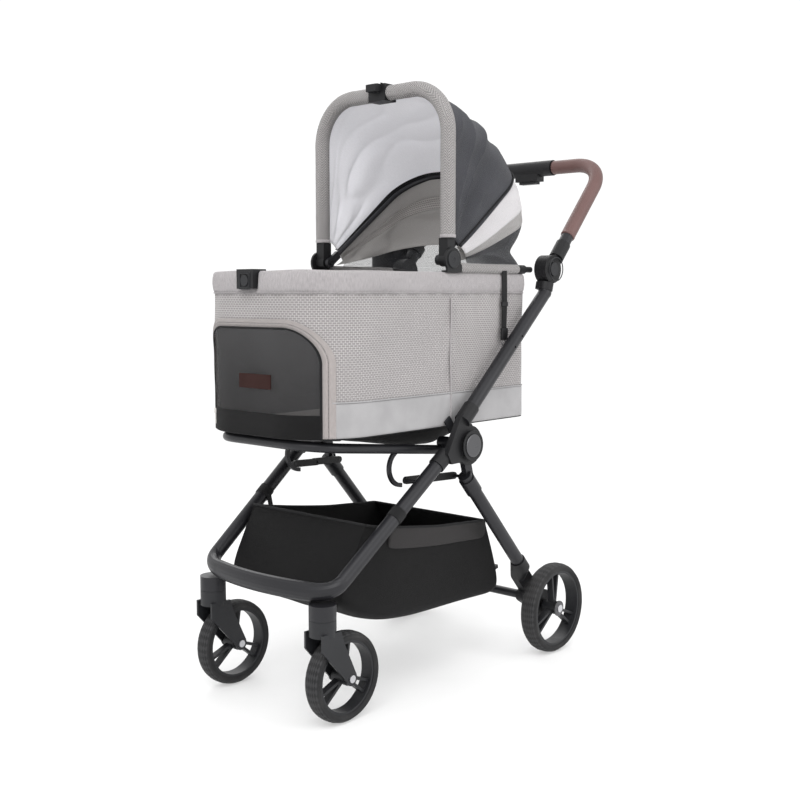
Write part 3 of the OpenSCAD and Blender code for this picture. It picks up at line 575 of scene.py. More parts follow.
# %% The carrier's outline
HALF, FRONT, REAR = 0.176, -0.346, 0.252
FRONT_R, REAR_R = 0.120, 0.028
FLOOR, RIM, TOP = 0.513, 0.767, 0.805
RUNS = (
    HALF - FRONT_R,
    FRONT_R * math.pi / 2,
    REAR - REAR_R - FRONT - FRONT_R,
    REAR_R * math.pi / 2,
    HALF - REAR_R,
)
ROUND = 2 * sum(RUNS)
SIDE_SEAM = 0.226  # from the end of the front corner to the seam on each side
MIDDLE = at(0, -0.05, 0.64)


def around(c, out, z):
    """The point c metres round the outline from the front's middle, out metres outside it."""
    side = 1.0 if c >= 0 else -1.0
    c = abs(c)
    a = min(max((c - RUNS[0]) / FRONT_R, 0.0), math.pi / 2)
    b = min(max((c - sum(RUNS[:3])) / REAR_R, 0.0), math.pi / 2)
    nx = math.sin(a) * math.cos(b)
    ny = math.sin(b) - math.cos(a) * math.cos(b)
    x = min(c, RUNS[0]) + FRONT_R * math.sin(a) + REAR_R * (math.cos(b) - 1)
    y = FRONT + FRONT_R * (1 - math.cos(a)) + REAR_R * math.sin(b)
    y += min(max(c - RUNS[0] - RUNS[1], 0.0), RUNS[2])
    x -= max(c - sum(RUNS[:4]), 0.0)
    return at(side * (x + nx * out), y + ny * out, z)


def across(c):
    """How far to the side the outline is, c metres round from the front's middle."""
    return (around(c, 0.0, 0.0) - at(0, 0, 0)).x


def length_to(x):
    """The length round to a place x metres to the side, on the front half."""
    if abs(x) <= RUNS[0]:
        return x
    return math.copysign(RUNS[0] + FRONT_R * math.asin((abs(x) - RUNS[0]) / FRONT_R), x)


def up_the_wall(point):
    return (point.z - FLOOR) / (RIM - FLOOR)


def slack(c, z):
    """How far the cloth stands out or hangs in at a place on the wall."""
    free = math.sin(math.pi * min(1.0, max(0.0, (z - FLOOR) / (TOP - FLOOR))))
    seam = abs(abs(c) - RUNS[0] - RUNS[1] - SIDE_SEAM)
    free *= min(1.0, 0.25 + seam / 0.08)
    pull = 0.0022 * math.exp(-seam / 0.03) * math.sin(seam * 260 + z * 55)
    pull = pull * math.sin(math.pi * (z - FLOOR) / 0.3)
    near_rim = max(0.0, (z - 0.70) / 0.067)
    puckers = 0.0013 * near_rim * math.sin(c * 2 * math.pi / 0.047 + 3 * ripple(c * 8, 1.0, 0.0))
    waves = 0.005 * ripple(c * 5.5, z * 7, 2.0) + 0.002 * ripple(c * 21, z * 15, 5.0)
    return free * waves + puckers + pull


print("the outline is", round(ROUND, 3), "m round")

# %% [markdown]
# The walls are one strip of spacer mesh sewn into a ring, with a D cut out of the front for the
# door. The grid is cut like cloth: faces inside the D are left out, and the points beside the cut
# are moved onto it, which leaves a clean curve for the zip tape to cover.

# %% Mesh walls
DOOR_HALF, DOOR_TOP, DOOR_R, DOOR_FOOT = 0.150, 0.713, 0.070, 0.5135


def beyond_door(c, z):
    """How far a place is outside the door's D; inside it is negative."""
    x, up = abs(across(c)) - (DOOR_HALF - DOOR_R), z - (DOOR_TOP - DOOR_R)
    if abs(c) > 0.3:
        return 1.0
    corner = math.hypot(x, up) if x > 0 and up > 0 else max(x, up)
    return corner - DOOR_R


def onto_door(c, z, near):
    """Moves a place close to the D onto it."""
    for _ in range(3):
        gap = beyond_door(c, z)
        if abs(gap) < near:
            dc = (beyond_door(c + 1e-4, z) - beyond_door(c - 1e-4, z)) / 2e-4
            dz = (beyond_door(c, z + 1e-4) - beyond_door(c, z - 1e-4)) / 2e-4
            size = dc * dc + dz * dz
            c, z = c - gap * dc / size, max(FLOOR, z - gap * dz / size)
    return c, z


def wall_piece(name, lows, finishes, out, depth, cut):
    """A ring of wall cloth with a row of points at each of the heights lows."""
    count = 292
    rows, cloth = [], []
    for z in lows:
        spots = [(ROUND * (i / count - 0.5), z) for i in range(count)]
        spots = [onto_door(c, z, 0.0036) if cut else (c, z) for c, z in spots]
        rows.append([around(c, out + slack(c, z), z) for c, z in spots])
        cloth.append(spots)
    leave = (lambda c, z: beyond_door(c, z) < -0.0002) if cut else None
    ring = sewn(name, rows, cloth, finishes, lambda p: MIDDLE, ROUND, leave)
    return thick(ring, depth, lining=len(finishes) > 1)


heights = [FLOOR + (RIM + 0.001 - FLOOR) * j / 42 for j in range(43)]
walls = wall_piece("mesh_walls", heights, [wall_mesh, lining], 0.0, 0.0024, True)
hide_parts("carrier_walls")
span(walls, up_the_wall)
print("walls:", len(walls.data.polygons), "faces")

# %% [markdown]
# Along the bottom runs a band of smooth coated cloth, as on a car seat. It stops at the door on
# each side, so it is one long strip and not a ring. A stitched piping covers its upper edge, and
# one seam goes up each side where the panels meet.

# %% Coated band, piping and side seams
band_start = length_to(DOOR_HALF) + 0.006
band_top = 0.576
rows, cloth = [], []
for j in range(13):
    z = FLOOR - 0.001 + (band_top - FLOOR + 0.001) * j / 12
    spots = [band_start + (ROUND - 2 * band_start) * i / 240 for i in range(241)]
    spots = [c if c < ROUND / 2 else c - ROUND for c in spots]
    edge = 0.0006 if j in (0, 12) else 0.0014
    rows.append([around(c, edge + slack(c, z), z) for c in spots])
    cloth.append([(c % ROUND, z) for c in spots])
lower = sewn("coated_band", rows, cloth, [coated_band], lambda p: MIDDLE)
thick(lower, 0.0012)
span(lower, up_the_wall)
ROUND - 2 * band_start

path = [band_start + (ROUND - 2 * band_start) * i / 300 for i in range(301)]
path = [c if c < ROUND / 2 else c - ROUND for c in path]
line = [around(c, 0.0014 + slack(c, band_top), band_top) for c in path]
piping = hose("band_piping", line, 0.0013, coated_band, sides=8)
span(piping, up_the_wall)
for side, word in BOTH:
    c = side * (RUNS[0] + RUNS[1] + SIDE_SEAM)
    spots = [(c + 0.0012 * math.sin(z * 60), z) for z in heights[:-1:2]]
    line = [around(c, 0.0018 + slack(c, z), z) for c, z in spots]
    seam = hose(f"side_seam_{word}", line, 0.0018, rim_weave, sides=8)
    span(seam, up_the_wall)
print("lower band, piping and two side seams")

# %% [markdown]
# The door is a D of dark net with a zip all round it. The zip is two tapes: the outer one is sewn
# to the walls and the inner one to the door, so each goes with its own neighbour. A thin black
# binding finishes the net's edge, and a strip of solid black cloth runs along the bottom.


# %% Door, zip and patch
def door_edge(inset, count=150):
    """Places along the D, inset metres inside it, from its left foot to its right foot."""
    half, top, r = DOOR_HALF - inset, DOOR_TOP - inset, DOOR_R - inset
    side, bend, flat = top - r - DOOR_FOOT, r * math.pi / 2, 2 * (half - r)
    spots = []
    for i in range(count + 1):
        d = (2 * side + 2 * bend + flat) * i / count
        if d < side:
            x, z = half, DOOR_FOOT + d
        elif d < side + bend:
            a = (d - side) / r
            x, z = half - r + r * math.cos(a), top - r + r * math.sin(a)
        elif d < side + bend + flat:
            x, z = half - r - (d - side - bend), top
        elif d < side + 2 * bend + flat:
            a = (d - side - bend - flat) / r
            x, z = -half + r - r * math.sin(a), top - r + r * math.cos(a)
        else:
            x, z = -half, top - r - (d - side - 2 * bend - flat)
        spots.append((x, z, d))
    return spots


def edge_strip(name, profile, finish):
    """Tape along the D; profile is (inset, out) across it."""
    rows, cloth = [], []
    for inset, out in profile:
        spots = door_edge(inset)
        rows.append([around(length_to(x), out + 0.8 * slack(length_to(x), z), z) for x, z, d in spots])
        cloth.append([(inset, d) for x, z, d in spots])
    return thick(sewn(name, rows, cloth, [finish], lambda p: MIDDLE), 0.0008)


outer_tape = [(-0.0078, 0.0012), (-0.0070, 0.0021), (-0.0030, 0.0022), (-0.0022, 0.0030), (-0.0002, 0.0026)]
inner_tape = [(0.0002, 0.0026), (0.0022, 0.0030), (0.0030, 0.0022), (0.0066, 0.0021)]
black_edge = [(0.0062, 0.0016), (0.0072, 0.0028), (0.0092, 0.0028), (0.0102, 0.0010)]
tape = edge_strip("zip_tape_outer", outer_tape, zip_tape)
span(tape, up_the_wall)
door_parts = [
    edge_strip("zip_tape_inner", inner_tape, zip_tape),
    edge_strip("door_binding", black_edge, binding),
]

rows, cloth = [], []
for j in range(41):
    z = DOOR_FOOT + (DOOR_TOP - 0.008 - DOOR_FOOT) * j / 40
    lift = max(0.0, z - (DOOR_TOP - DOOR_R))
    half = DOOR_HALF - DOOR_R + math.sqrt(max(0.0, (DOOR_R - 0.008) ** 2 - lift**2))
    spots = [length_to(half * (i / 30 - 1)) for i in range(61)]
    free = [math.sin(math.pi * i / 60) * math.sin(math.pi * j / 40) for i in range(61)]
    sag = [0.006 * ripple(c * 7, z * 9, 8.0) - 0.003 for c in spots]
    rows.append([around(c, s * f, z) for c, s, f in zip(spots, sag, free)])
    cloth.append([(c, z) for c in spots])
door = sewn("door_net", rows, cloth, [door_net], lambda p: MIDDLE)
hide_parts("door_flap")

rows, cloth = [], []
for z, out in ((0.5125, 0.0006), (DOOR_FOOT, 0.0026), (0.553, 0.0024), (0.5545, 0.0008)):
    spots = [length_to((DOOR_HALF - 0.0075) * (i / 30 - 1)) for i in range(61)]
    rows.append([around(c, out, z) for c in spots])
    cloth.append([(c, z) for c in spots])
strip = thick(sewn("door_strip", rows, cloth, [black_cloth], lambda p: MIDDLE), 0.001)
door_parts.append(strip)

bpy.ops.mesh.primitive_cube_add(size=1)
patch = bpy.context.object
patch.name = "door_patch"
bpy.ops.object.mode_set(mode="EDIT")
bpy.ops.transform.resize(value=(0.084, 0.0022, 0.026))
bpy.ops.mesh.subdivide(number_cuts=8)
bpy.ops.object.mode_set(mode="OBJECT")
modify(patch, "BEVEL", width=0.0009, segments=3, limit_method="ANGLE")
for v in patch.data.vertices:
    c = v.co.x + 0.012
    v.co = around(length_to(c), 0.0016 - v.co.y, 0.610 + v.co.z)
patch.data.materials.append(patch_leather.material)
patch.data.shade_smooth()
door_parts.append(patch)
for piece in [door, *door_parts]:
    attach(piece, "door")
print("door pieces:", [p.name for p in door_parts])

# %% [markdown]
# The rim is a tube of heather cloth folded over the carrier's upper edge. It is stuffed lightly
# and puckers along its lower seam. Its section is a rounded strip, and the rows of that section
# are carried round the outline. A gap is left in front for the buckle.

# %% Rim band
section = [
    (-0.0010, 0.7655),
    (0.0012, 0.7680),
    (0.0030, 0.7740),
    (0.0040, 0.7840),
    (0.0036, 0.7940),
    (0.0022, 0.8015),
    (-0.0008, 0.8050),
    (-0.0045, 0.8056),
    (-0.0075, 0.8030),
    (-0.0086, 0.7950),
    (-0.0088, 0.7820),
    (-0.0080, 0.7700),
    (-0.0060, 0.7662),
    (-0.0010, 0.7655),
]
count = 400
rows, cloth, length = [], [], 0.0
for j, (out, z) in enumerate(section):
    row, flat = [], []
    for i in range(count):
        c = ROUND * (i / count - 0.5)
        soft = math.sin(math.pi * min(1.0, (z - 0.7655) / 0.0405)) if out > -0.004 else 0.2
        fold = 0.0011 * ripple(c * 60, z * 12, 3.0) + 0.0014 * ripple(c * 16, z * 20, 6.0)
        shelf = abs(c) < 0.0222 and z > 0.773
        height = 0.7728 if shelf else z + 0.0012 * ripple(c * 13, 0.0, 9.0)
        row.append(around(c, min(out, 0.001) if shelf else out + soft * fold, height))
        flat.append((c, length))
    rows.append(row)
    cloth.append(flat)
    if j < len(section) - 1:
        length += math.dist(section[j], section[j + 1])
core = [around(ROUND * (i / 200 - 0.5), -0.004, 0.786) for i in range(200)]
nearest = lambda p: min(core, key=lambda q: (q - p).length)
band = sewn("rim_band_cloth", rows, cloth, [rim_weave], nearest, ROUND)
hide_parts("rim_band")
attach(band, "rim")
line = [around(ROUND * (i / 400 - 0.5), 0.0016, 0.7662) for i in range(400)]
hem = hose("rim_seam", line, 0.0012, rim_weave, sides=8, closed=True, body="rim")
print("rim band:", len(band.data.polygons), "faces,", round(length, 3), "m of cloth across")

# %% [markdown]
# On the floor lies a thin foam pad in grey cloth. The pad is modelled flat, inflated a little by
# the cloth simulation, which rounds its edge and pulls its face taut. No point may move more than
# 1.2 mm by it, and then the quilting seams are pressed in as shallow channels.

# %% Floor pad
rows = []
for out, z in (
    (-0.0195, 0.5138),
    (-0.0105, 0.5140),
    (-0.0085, 0.5165),
    (-0.0085, 0.5200),
    (-0.0105, 0.5222),
    (-0.0195, 0.5225),
):
    rows.append([around(ROUND * (i / 160 - 0.5), out, z) for i in range(160)])
for scale in (0.8, 0.6, 0.4, 0.2):
    top = [at(0, -0.047, 0.5225) + (p - at(0, -0.047, 0.5225)) * scale for p in rows[5][:160]]
    rows.append(top)
    rows.insert(0, [Vector((p.x, p.y, 0.5138)) for p in top])
cloth = [[(p.x, p.y) for p in row] for row in rows]
pad = sewn("floor_pad_cloth", rows, cloth, [grey_lining], lambda p: at(0, -0.047, 0.518), 0.001)
shape = bmesh.new()
shape.from_mesh(pad.data)
bmesh.ops.holes_fill(shape, edges=[e for e in shape.edges if e.is_boundary], sides=200)
bmesh.ops.triangulate(shape, faces=[f for f in shape.faces if len(f.verts) > 4])
shape.to_mesh(pad.data)
shape.free()
modify(pad, "REMESH", mode="VOXEL", voxel_size=0.0045)
before = [v.co.copy() for v in pad.data.vertices]
bpy.context.view_layer.objects.active = pad
puff = pad.modifiers.new("puff", "CLOTH")
puff.settings.use_pressure = True
puff.settings.uniform_pressure_force = 4
puff.settings.effector_weights.gravity = 0
for n in range(1, 13):
    bpy.context.scene.frame_set(n)
bpy.ops.object.modifier_apply(modifier=puff.name)
bpy.context.scene.frame_set(1)
for v, was in zip(pad.data.vertices, before):
    move = v.co - was
    if move.length > 0.0012:
        move *= 0.0012 / move.length
    v.co = was + move
    x, y = v.co.x - MID, v.co.y - PIVOT_Y
    seam = min(abs(abs(x) - 0.085), abs(y + 0.15), abs(y - 0.05))
    if v.co.z > 0.519:
        v.co.z -= 0.0022 * math.exp(-((seam / 0.006) ** 2))
layer = pad.data.uv_layers.get("cloth") or pad.data.uv_layers.new(name="cloth")
for corner in pad.data.loops:
    spot = pad.data.vertices[corner.vertex_index].co
    layer.data[corner.index].uv = (spot.x + 0.3 * spot.z, spot.y + 0.3 * spot.z)
if not pad.data.materials:
    pad.data.materials.append(grey_lining.material)
pad.data.shade_smooth()
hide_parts("floor_pad")
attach(pad, "base")
print("pad:", len(pad.data.polygons), "faces")

# %% [markdown]
# Under the pad a black hammock hangs from the two side tubes of the base, deepest in the middle.
# It could be a flat plate, but from below it has to sag, so its height follows a depth profile
# along the base and runs up steeply at its sides. A black tray and a welt close the base's edge.

# %% Sling and base edge
def sling_height(y):
    """Half of the hammock's depth profile: straight down to the tubes and back up."""
    stops = [(-0.306, 0.5125), (-0.02, 0.466), (0.04, 0.464), (0.214, 0.5125)]
    for (a, low), (b, high) in zip(stops, stops[1:]):
        if y <= b:
            return low + (high - low) * (y - a) / (b - a)
    return 0.5125


rows, cloth = [], []
for j in range(53):
    y = -0.306 + 0.52 * j / 52
    row = []
    for i in range(41):
        s = 2 * i / 40 - 1
        lift = abs(s) ** 8
        x = 0.1255 * math.copysign(min(1.0, abs(s) * 1.03), s)
        z = sling_height(y) * (1 - lift) + 0.5125 * lift
        row.append(at(x, y, z + 0.0015 * ripple(x * 14, y * 14, 4.0) * (1 - lift)))
    rows.append(row)
    cloth.append([(0.26 * i / 40, y) for i in range(41)])
sling = sewn("sling_cloth", rows, cloth, [black_cloth], lambda p: at(0, 0, 0.9))
thick(sling, 0.0018)
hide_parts("base_sling")
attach(sling, "base")

line = [around(ROUND * (i / 300 - 0.5), -0.0006, 0.5128) for i in range(300)]
hose("base_welt", line, 0.0016, binding, sides=8, closed=True, body="base")
rows = [[around(ROUND * (i / 160 - 0.5), -0.002, 0.5118) for i in range(160)]]
middle = at(0, -0.047, 0.5118)
for scale in (0.75, 0.5, 0.25, 0.02):
    rows.append([middle + (p - middle) * scale for p in rows[0]])
cloth = [[(p.x, p.y) for p in row] for row in rows]
tray = sewn("under_floor", rows, cloth, [black_cloth], lambda p: at(0, 0, 0.9), 0.001)
thick(tray, 0.001)
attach(tray, "base")
print("sling, welt and under floor")

# %% [markdown]
# The canopy is cloth stretched over two bows and sewn to the rim. Its section at any angle about
# the pivots is a U with rounded corners. The radius of that U changes with the angle, because the
# cloth sags between the bows, and that gives the hood its real outline.


# %% The canopy's surface
CROWN = (
    (-6, 0.331),
    (0, 0.331),
    (8, 0.328),
    (20, 0.321),
    (36, 0.319),
    (49, 0.325),
    (53.5, 0.326),
    (62, 0.320),
    (71, 0.307),
    (76, 0.285),
    (84, 0.255),
    (88, 0.262),
    (91, 0.270),
    (97, 0.270),
)


def crown(angle):
    """Radius of the hood at an angle behind the hoop, smoothly through the table."""
    for n in range(1, len(CROWN) - 2):
        (a, p), (b, q) = CROWN[n], CROWN[n + 1]
        if angle <= b or n == len(CROWN) - 3:
            t = (angle - a) / (b - a)
            m = (q - CROWN[n - 1][1]) / (b - CROWN[n - 1][0]) * (b - a)
            k = (CROWN[n + 2][1] - p) / (CROWN[n + 2][0] - a) * (b - a)
            one = p * (2 * t**3 - 3 * t * t + 1) + m * (t**3 - 2 * t * t + t)
            return one + q * (3 * t * t - 2 * t**3) + k * (t**3 - t * t)
    return 0.270


def u_point(t, radius, half, corner, foot):
    """Place and normal on a rounded U; t is 0 at the crown and -1 and 1 at the feet."""
    straight = radius - corner - foot
    d = abs(t) * (half - corner + corner * math.pi / 2 + straight)
    a = min(max((d - half + corner) / corner, 0.0), math.pi / 2)
    x = min(d, half - corner) + corner * math.sin(a)
    r = radius - corner + corner * math.cos(a) - max(d - half + corner - corner * math.pi / 2, 0.0)
    return math.copysign(x, t), r, math.copysign(math.sin(a), t), math.cos(a)


def hood(angle, t, out=0.0):
    """A point of the canopy's cloth."""
    back = min(1.0, max(0.0, (angle - 53.5) / 37.5))
    half = 0.166 + 0.003 * math.sin(math.pi * back)
    foot = 0.047 + 0.012 * back
    x, r, nx, nr = u_point(t, crown(angle), half, 0.088 - 0.03 * back, foot)
    turn = math.radians(angle)
    x, r = x + nx * out, r + nr * out
    return Vector((MID + x, PIVOT_Y + r * math.sin(turn), PIVOT_Z + r * math.cos(turn)))


def creases(angle, t, low, high, size):
    """Folds in the cloth between two bows, none at the bows themselves."""
    free = math.sin(math.pi * min(1.0, max(0.0, (angle - low) / (high - low))))
    edge = min(1.0, (1 - abs(t)) * 9)
    long_folds = 1 - (abs(ripple(angle * 0.06 + t * 0.8, t * 2.6 - angle * 0.02, size * 900)) * 5) ** 0.6
    small = ripple(angle * 0.13, t * 6.0, 4.0)
    return size * free * edge * (long_folds * 0.9 + 0.35 * small)


def hood_cloth(name, low, high, rows_count, finishes, size, depth=0.0012, out=0.0):
    """A strip of canopy between two edges, low(t) and high(t) in degrees."""
    rows, cloth, columns = [], [], 97
    ts = [2 * i / (columns - 1) - 1 for i in range(columns)]
    for j in range(rows_count + 1):
        row, flat = [], []
        for t in ts:
            angle = low(t) + (high(t) - low(t)) * j / rows_count
            lift = creases(angle, t, low(t), high(t), size)
            row.append(hood(angle, t, out + lift))
            flat.append((t * 0.44, math.radians(angle) * 0.33))
        rows.append(row)
        cloth.append(flat)
    inside = lambda p: Vector((MID, (p.y + PIVOT_Y) / 2, (p.z + PIVOT_Z) / 2))
    piece = sewn(name, rows, cloth, finishes, inside)
    return thick(piece, depth, lining=len(finishes) > 1) if depth else piece


def angle_at(point):
    return math.degrees(math.atan2(point.y - PIVOT_Y, point.z - PIVOT_Z))


def curve_to(top, foot, power=3.0):
    """An edge at top degrees over the crown, sweeping to foot degrees at the pivots."""
    return lambda t: top + (foot - top) * abs(t) ** power


# %% [markdown]
# The front part hangs between the hoop and the middle bow. Outside it is charcoal net, inside a
# pale lining. Half way the cloth is slack and falls into long folds. Each point's share between
# the two bows is worked out from its own angle, but it is not kept, so the cloth is tied to neither.

# %% Front of the canopy
front = hood_cloth("canopy_front_cloth", lambda t: 0.0, lambda t: 53.0, 56, [canopy_net, pale_lining], 0.009)
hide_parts("canopy_front")
span(front, lambda p: angle_at(p) / 53.0)

line = [hood(53.2, 2 * i / 120 - 1, 0.0015) for i in range(121)]
hose("bow_binding", line, 0.0028, binding, sides=10, flat=0.6, body="mid_bow")
sleeve_low, sleeve_high = (lambda t: 51.4), (lambda t: 55.6)
sleeve = hood_cloth("bow_sleeve", sleeve_low, sleeve_high, 6, [binding], 0.0, 0.001, out=-0.0045)
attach(sleeve, "mid_bow")
print("front of the canopy:", len(front.data.polygons), "faces")

# %% [markdown]
# Behind the middle bow come three cloths, each a strip that narrows towards the pivots: a pearly
# band, a knitted band and a loose dark net that is gathered onto the rim. Under them hangs the
# grey lining, with a strip of open mesh, and its lower edge hangs free in a soft wave.

# %% Rear of the canopy
pearl_end, knit_end = curve_to(65.5, 77.0), curve_to(72.0, 84.0)
rear_share = lambda p: 1 - (angle_at(p) - 53.5) / 37.5
rear = [
    hood_cloth("pearl_band", curve_to(53.6, 60.0), pearl_end, 16, [pearl_cloth, grey_lining], 0.0022),
    hood_cloth("knit_band", pearl_end, knit_end, 12, [knit_cloth, grey_lining], 0.003),
    hood_cloth("rear_net", knit_end, lambda t: 91.0, 30, [rear_net], 0.007, 0.0),
    hood_cloth("charcoal_edge", lambda t: 53.0, curve_to(53.6, 60.0), 6, [canopy_net], 0.0),
]
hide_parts("canopy_rear")
for piece in rear:
    span(piece, rear_share)

rows, cloth = [], []
for j in range(7):
    s, row = j / 6, []
    for i in range(97):
        t = 2 * i / 96 - 1
        high = hood(91.0, t)
        x, r, nx, nr = u_point(t, 0.2475, 0.1685, 0.030, 0.060)
        low = at(x, r, 0.8035)
        bulge = 0.004 * math.sin(math.pi * s) * (1 + ripple(t * 9, 1.0, 2.0))
        row.append(high.lerp(low, s) + Vector((nx, nr, 0)) * bulge)
    rows.append(row)
    cloth.append([(0.4 * (2 * i / 96 - 1), 0.02 * s) for i in range(97)])
foot = sewn("net_foot", rows, cloth, [rear_net], lambda p: at(0, 0.1, p.z))
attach(foot, "rim")
print("rear of the canopy:", [p.name for p in rear])

# %% [markdown]
# The grey lining shows through the hoop: a band round the middle bow, a strip of open mesh, and a
# free lower edge that hangs in a wave. It lies inside the outer cloths, so it is drawn a little
# way in from them, on the same surface.

# %% Inner lining of the hood
pieces_in = [
    ("lining_band", curve_to(54.0, 59.0), curve_to(61.0, 68.0), grey_lining, 0.004, -0.010, 0.030),
    ("lining_strip", curve_to(61.0, 68.0), curve_to(66.0, 73.0), strip_mesh, 0.002, -0.011, 0.021),
    ("lining_drape", curve_to(66.0, 73.0), curve_to(79.0, 84.0, 2.0), grey_lining, 0.009, -0.012, 0.062),
]
for name, low, high, finish, size, out, wide in pieces_in:
    piece = hood_cloth(name, low, high, 14, [finish], size, 0.0008, out)
    span(piece, rear_share)
    for v in piece.data.vertices if name == "lining_drape" else ():
        d = max(0.0, (angle_at(v.co) - 72) / 9)
        v.co.y -= 0.018 * d * d
        v.co.z -= 0.008 * d
print("inner lining:", [p[0] for p in pieces_in])

# %% [markdown]
# The hoop's sleeve is herringbone cloth over foam, with a welted hem at each foot. The two rails
# on the rim wear the same cloth. A sleeve is a tube along the hoop's own curve, and the cloth map
# runs round and along it, so the herringbone follows the bend.

# %% Sleeves
def u_path(half, radius, corner, foot, count=160):
    """Points along a rounded U in the plane of the hoop at rest."""
    spots = []
    for i in range(count + 1):
        x, r, nx, nr = u_point(2 * i / count - 1, radius, half, corner, foot)
        spots.append(Vector((MID + x, PIVOT_Y, PIVOT_Z + r)))
    return spots


line = u_path(0.169, 0.327, 0.088, 0.0415, 200)
pinch = lambda s: 0.0012 * math.exp(-((min(s, 1 - s) / 0.006) ** 2))
soft_radius = lambda s: 0.01455 + 0.0003 * ripple(s * 40, 0, 7) - pinch(s)
cover = hose("hoop_sleeve", line, soft_radius, sleeve_weave, inside=Vector((0, 1, 0)), sides=24, body="hoop")
line = [p + Vector((0, 0.0145, 0)) for p in u_path(0.1675, 0.3255, 0.087, 0.05, 160)]
seam = hose("hoop_seam", line, 0.0022, sleeve_weave, sides=8, body="hoop")
for side, word in BOTH:
    dip = [0.0006 * math.sin(math.pi * i / 40) for i in range(41)]
    line = [at(side * 0.174, 0.0265 + 0.190 * i / 40, 0.8142 - dip[i]) for i in range(41)]
    up = Vector((0, 0, 1))
    rail = hose(f"rail_sleeve_{word}", line, 0.0095, sleeve_weave, inside=up, sides=20, body="rim")
    if side > 0:
        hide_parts("side_rails")
print("sleeves on the hoop and both rails")

# %% [markdown]
# The handle is wrapped in brown leather, sewn along its inner side. The wrap is a tube whose map
# carries the seam and its stitches. Each end is turned under, which makes a small ring.

# %% Leather grips
lean = math.radians(48)
JOINT_Y, JOINT_Z = 0.292, 0.815
HANDLE_HALF, BEND_R, GRIP_START = 0.204, 0.076, 0.0925
STRAIGHT, BEND = 0.1475, 0.1194  # lengths of leather before the corner and round it


def on_handle(x, r, up=0.0):
    """A point in the handle's own plane: x to the side, r out from its joints."""
    y = JOINT_Y + r * math.cos(lean) - up * math.sin(lean)
    return at(x, y, JOINT_Z + r * math.sin(lean) + up * math.cos(lean))


grip_in = Vector((0, -math.cos(lean), -math.sin(lean)))
for side, word in BOTH:
    line, total = [], 0.316 - BEND_R - GRIP_START + BEND_R * math.pi / 2 + HANDLE_HALF - BEND_R - 0.0672
    for i in range(101):
        d = total * i / 100
        a = min(max((d - STRAIGHT) / BEND_R, 0.0), math.pi / 2)
        x = HANDLE_HALF - BEND_R * (1 - math.cos(a)) - max(d - STRAIGHT - BEND, 0.0)
        r = GRIP_START + min(d, STRAIGHT) + BEND_R * math.sin(a)
        line.append(on_handle(side * x, r))
    swell = lambda s: 0.0153 + 0.0007 * math.exp(-((min(s, 1 - s) / 0.012) ** 2))
    grip = hose(f"grip_{word}", line, swell, grip_leather, inside=grip_in, sides=28, body="handle")
    if side > 0:
        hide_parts("handle_grips")
print("grips are", round(total, 3), "m long each")

# %% [markdown]
# A strap ties the rim to the frame on the left. It is flat webbing down to a plastic clip with a
# hook round it. The webbing is a thin sheet, and the clip is a block shaped in edit mode.

# %% Strap and clip
rows, cloth = [], []
for j in range(41):
    z = 0.812 - 0.116 * j / 40
    bow = 0.0012 * math.sin(math.pi * j / 40)
    rows.append([at(0.1828 + bow, 0.1555 + 0.015 * i / 6, z) for i in range(7)])
    cloth.append([(0.015 * i / 6, z) for i in range(7)])
strap = sewn("rim_strap_web", rows, cloth, [webbing], lambda p: at(0, p.y - PIVOT_Y, p.z))
thick(strap, 0.0016)
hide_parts("rim_strap")
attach(strap, "rim")


def select(piece, test):
    """Selects the faces of piece that test(centre, normal) picks, in edit mode."""
    bpy.ops.object.mode_set(mode="EDIT")
    bpy.ops.mesh.select_mode(type="FACE")
    shape = bmesh.from_edit_mesh(piece.data)
    for face in shape.faces:
        face.select_set(bool(test(face.calc_center_median(), face.normal)))
    bmesh.update_edit_mesh(piece.data)


def block(name, centre, size, finish, body, edge=0.001):
    """A small moulded block: cube, scaled in edit mode, with its long edges rounded."""
    clear()
    bpy.ops.mesh.primitive_cube_add(size=1)
    made = bpy.context.object
    made.name = name
    bpy.ops.object.mode_set(mode="EDIT")
    bpy.ops.transform.resize(value=size)
    bpy.ops.transform.translate(value=centre)
    bpy.ops.mesh.subdivide(number_cuts=2)
    bpy.ops.object.mode_set(mode="OBJECT")
    made.data.materials.append(finish.material)
    modify(made, "BEVEL", width=edge, segments=3, limit_method="ANGLE")
    made.data.shade_smooth()
    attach(made, body)
    return made


block("strap_clip", at(0.1829, 0.163, 0.684), (0.0045, 0.020, 0.024), black_plastic, "rim")
block("strap_slider", at(0.1832, 0.163, 0.744), (0.0042, 0.019, 0.009), black_plastic, "rim")
turns = [math.pi * 1.6 * i / 16 for i in range(17)]
hook = [at(0.1829, 0.163 + 0.006 * math.sin(a), 0.671 - 0.006 * (1 - math.cos(a))) for a in turns]
hose("strap_hook", hook, 0.0016, dark_steel, sides=8, body="rim")
print("strap, clip, slider and hook")

# %% [markdown]
# The basket is one black cloth tub. Its rows run from the top of the front panel down, under, and
# up at the back, and each row turns up at both sides to the basket's upper edge. The middle sags
# between the loops that carry it, and an elastic band is sewn along each side.

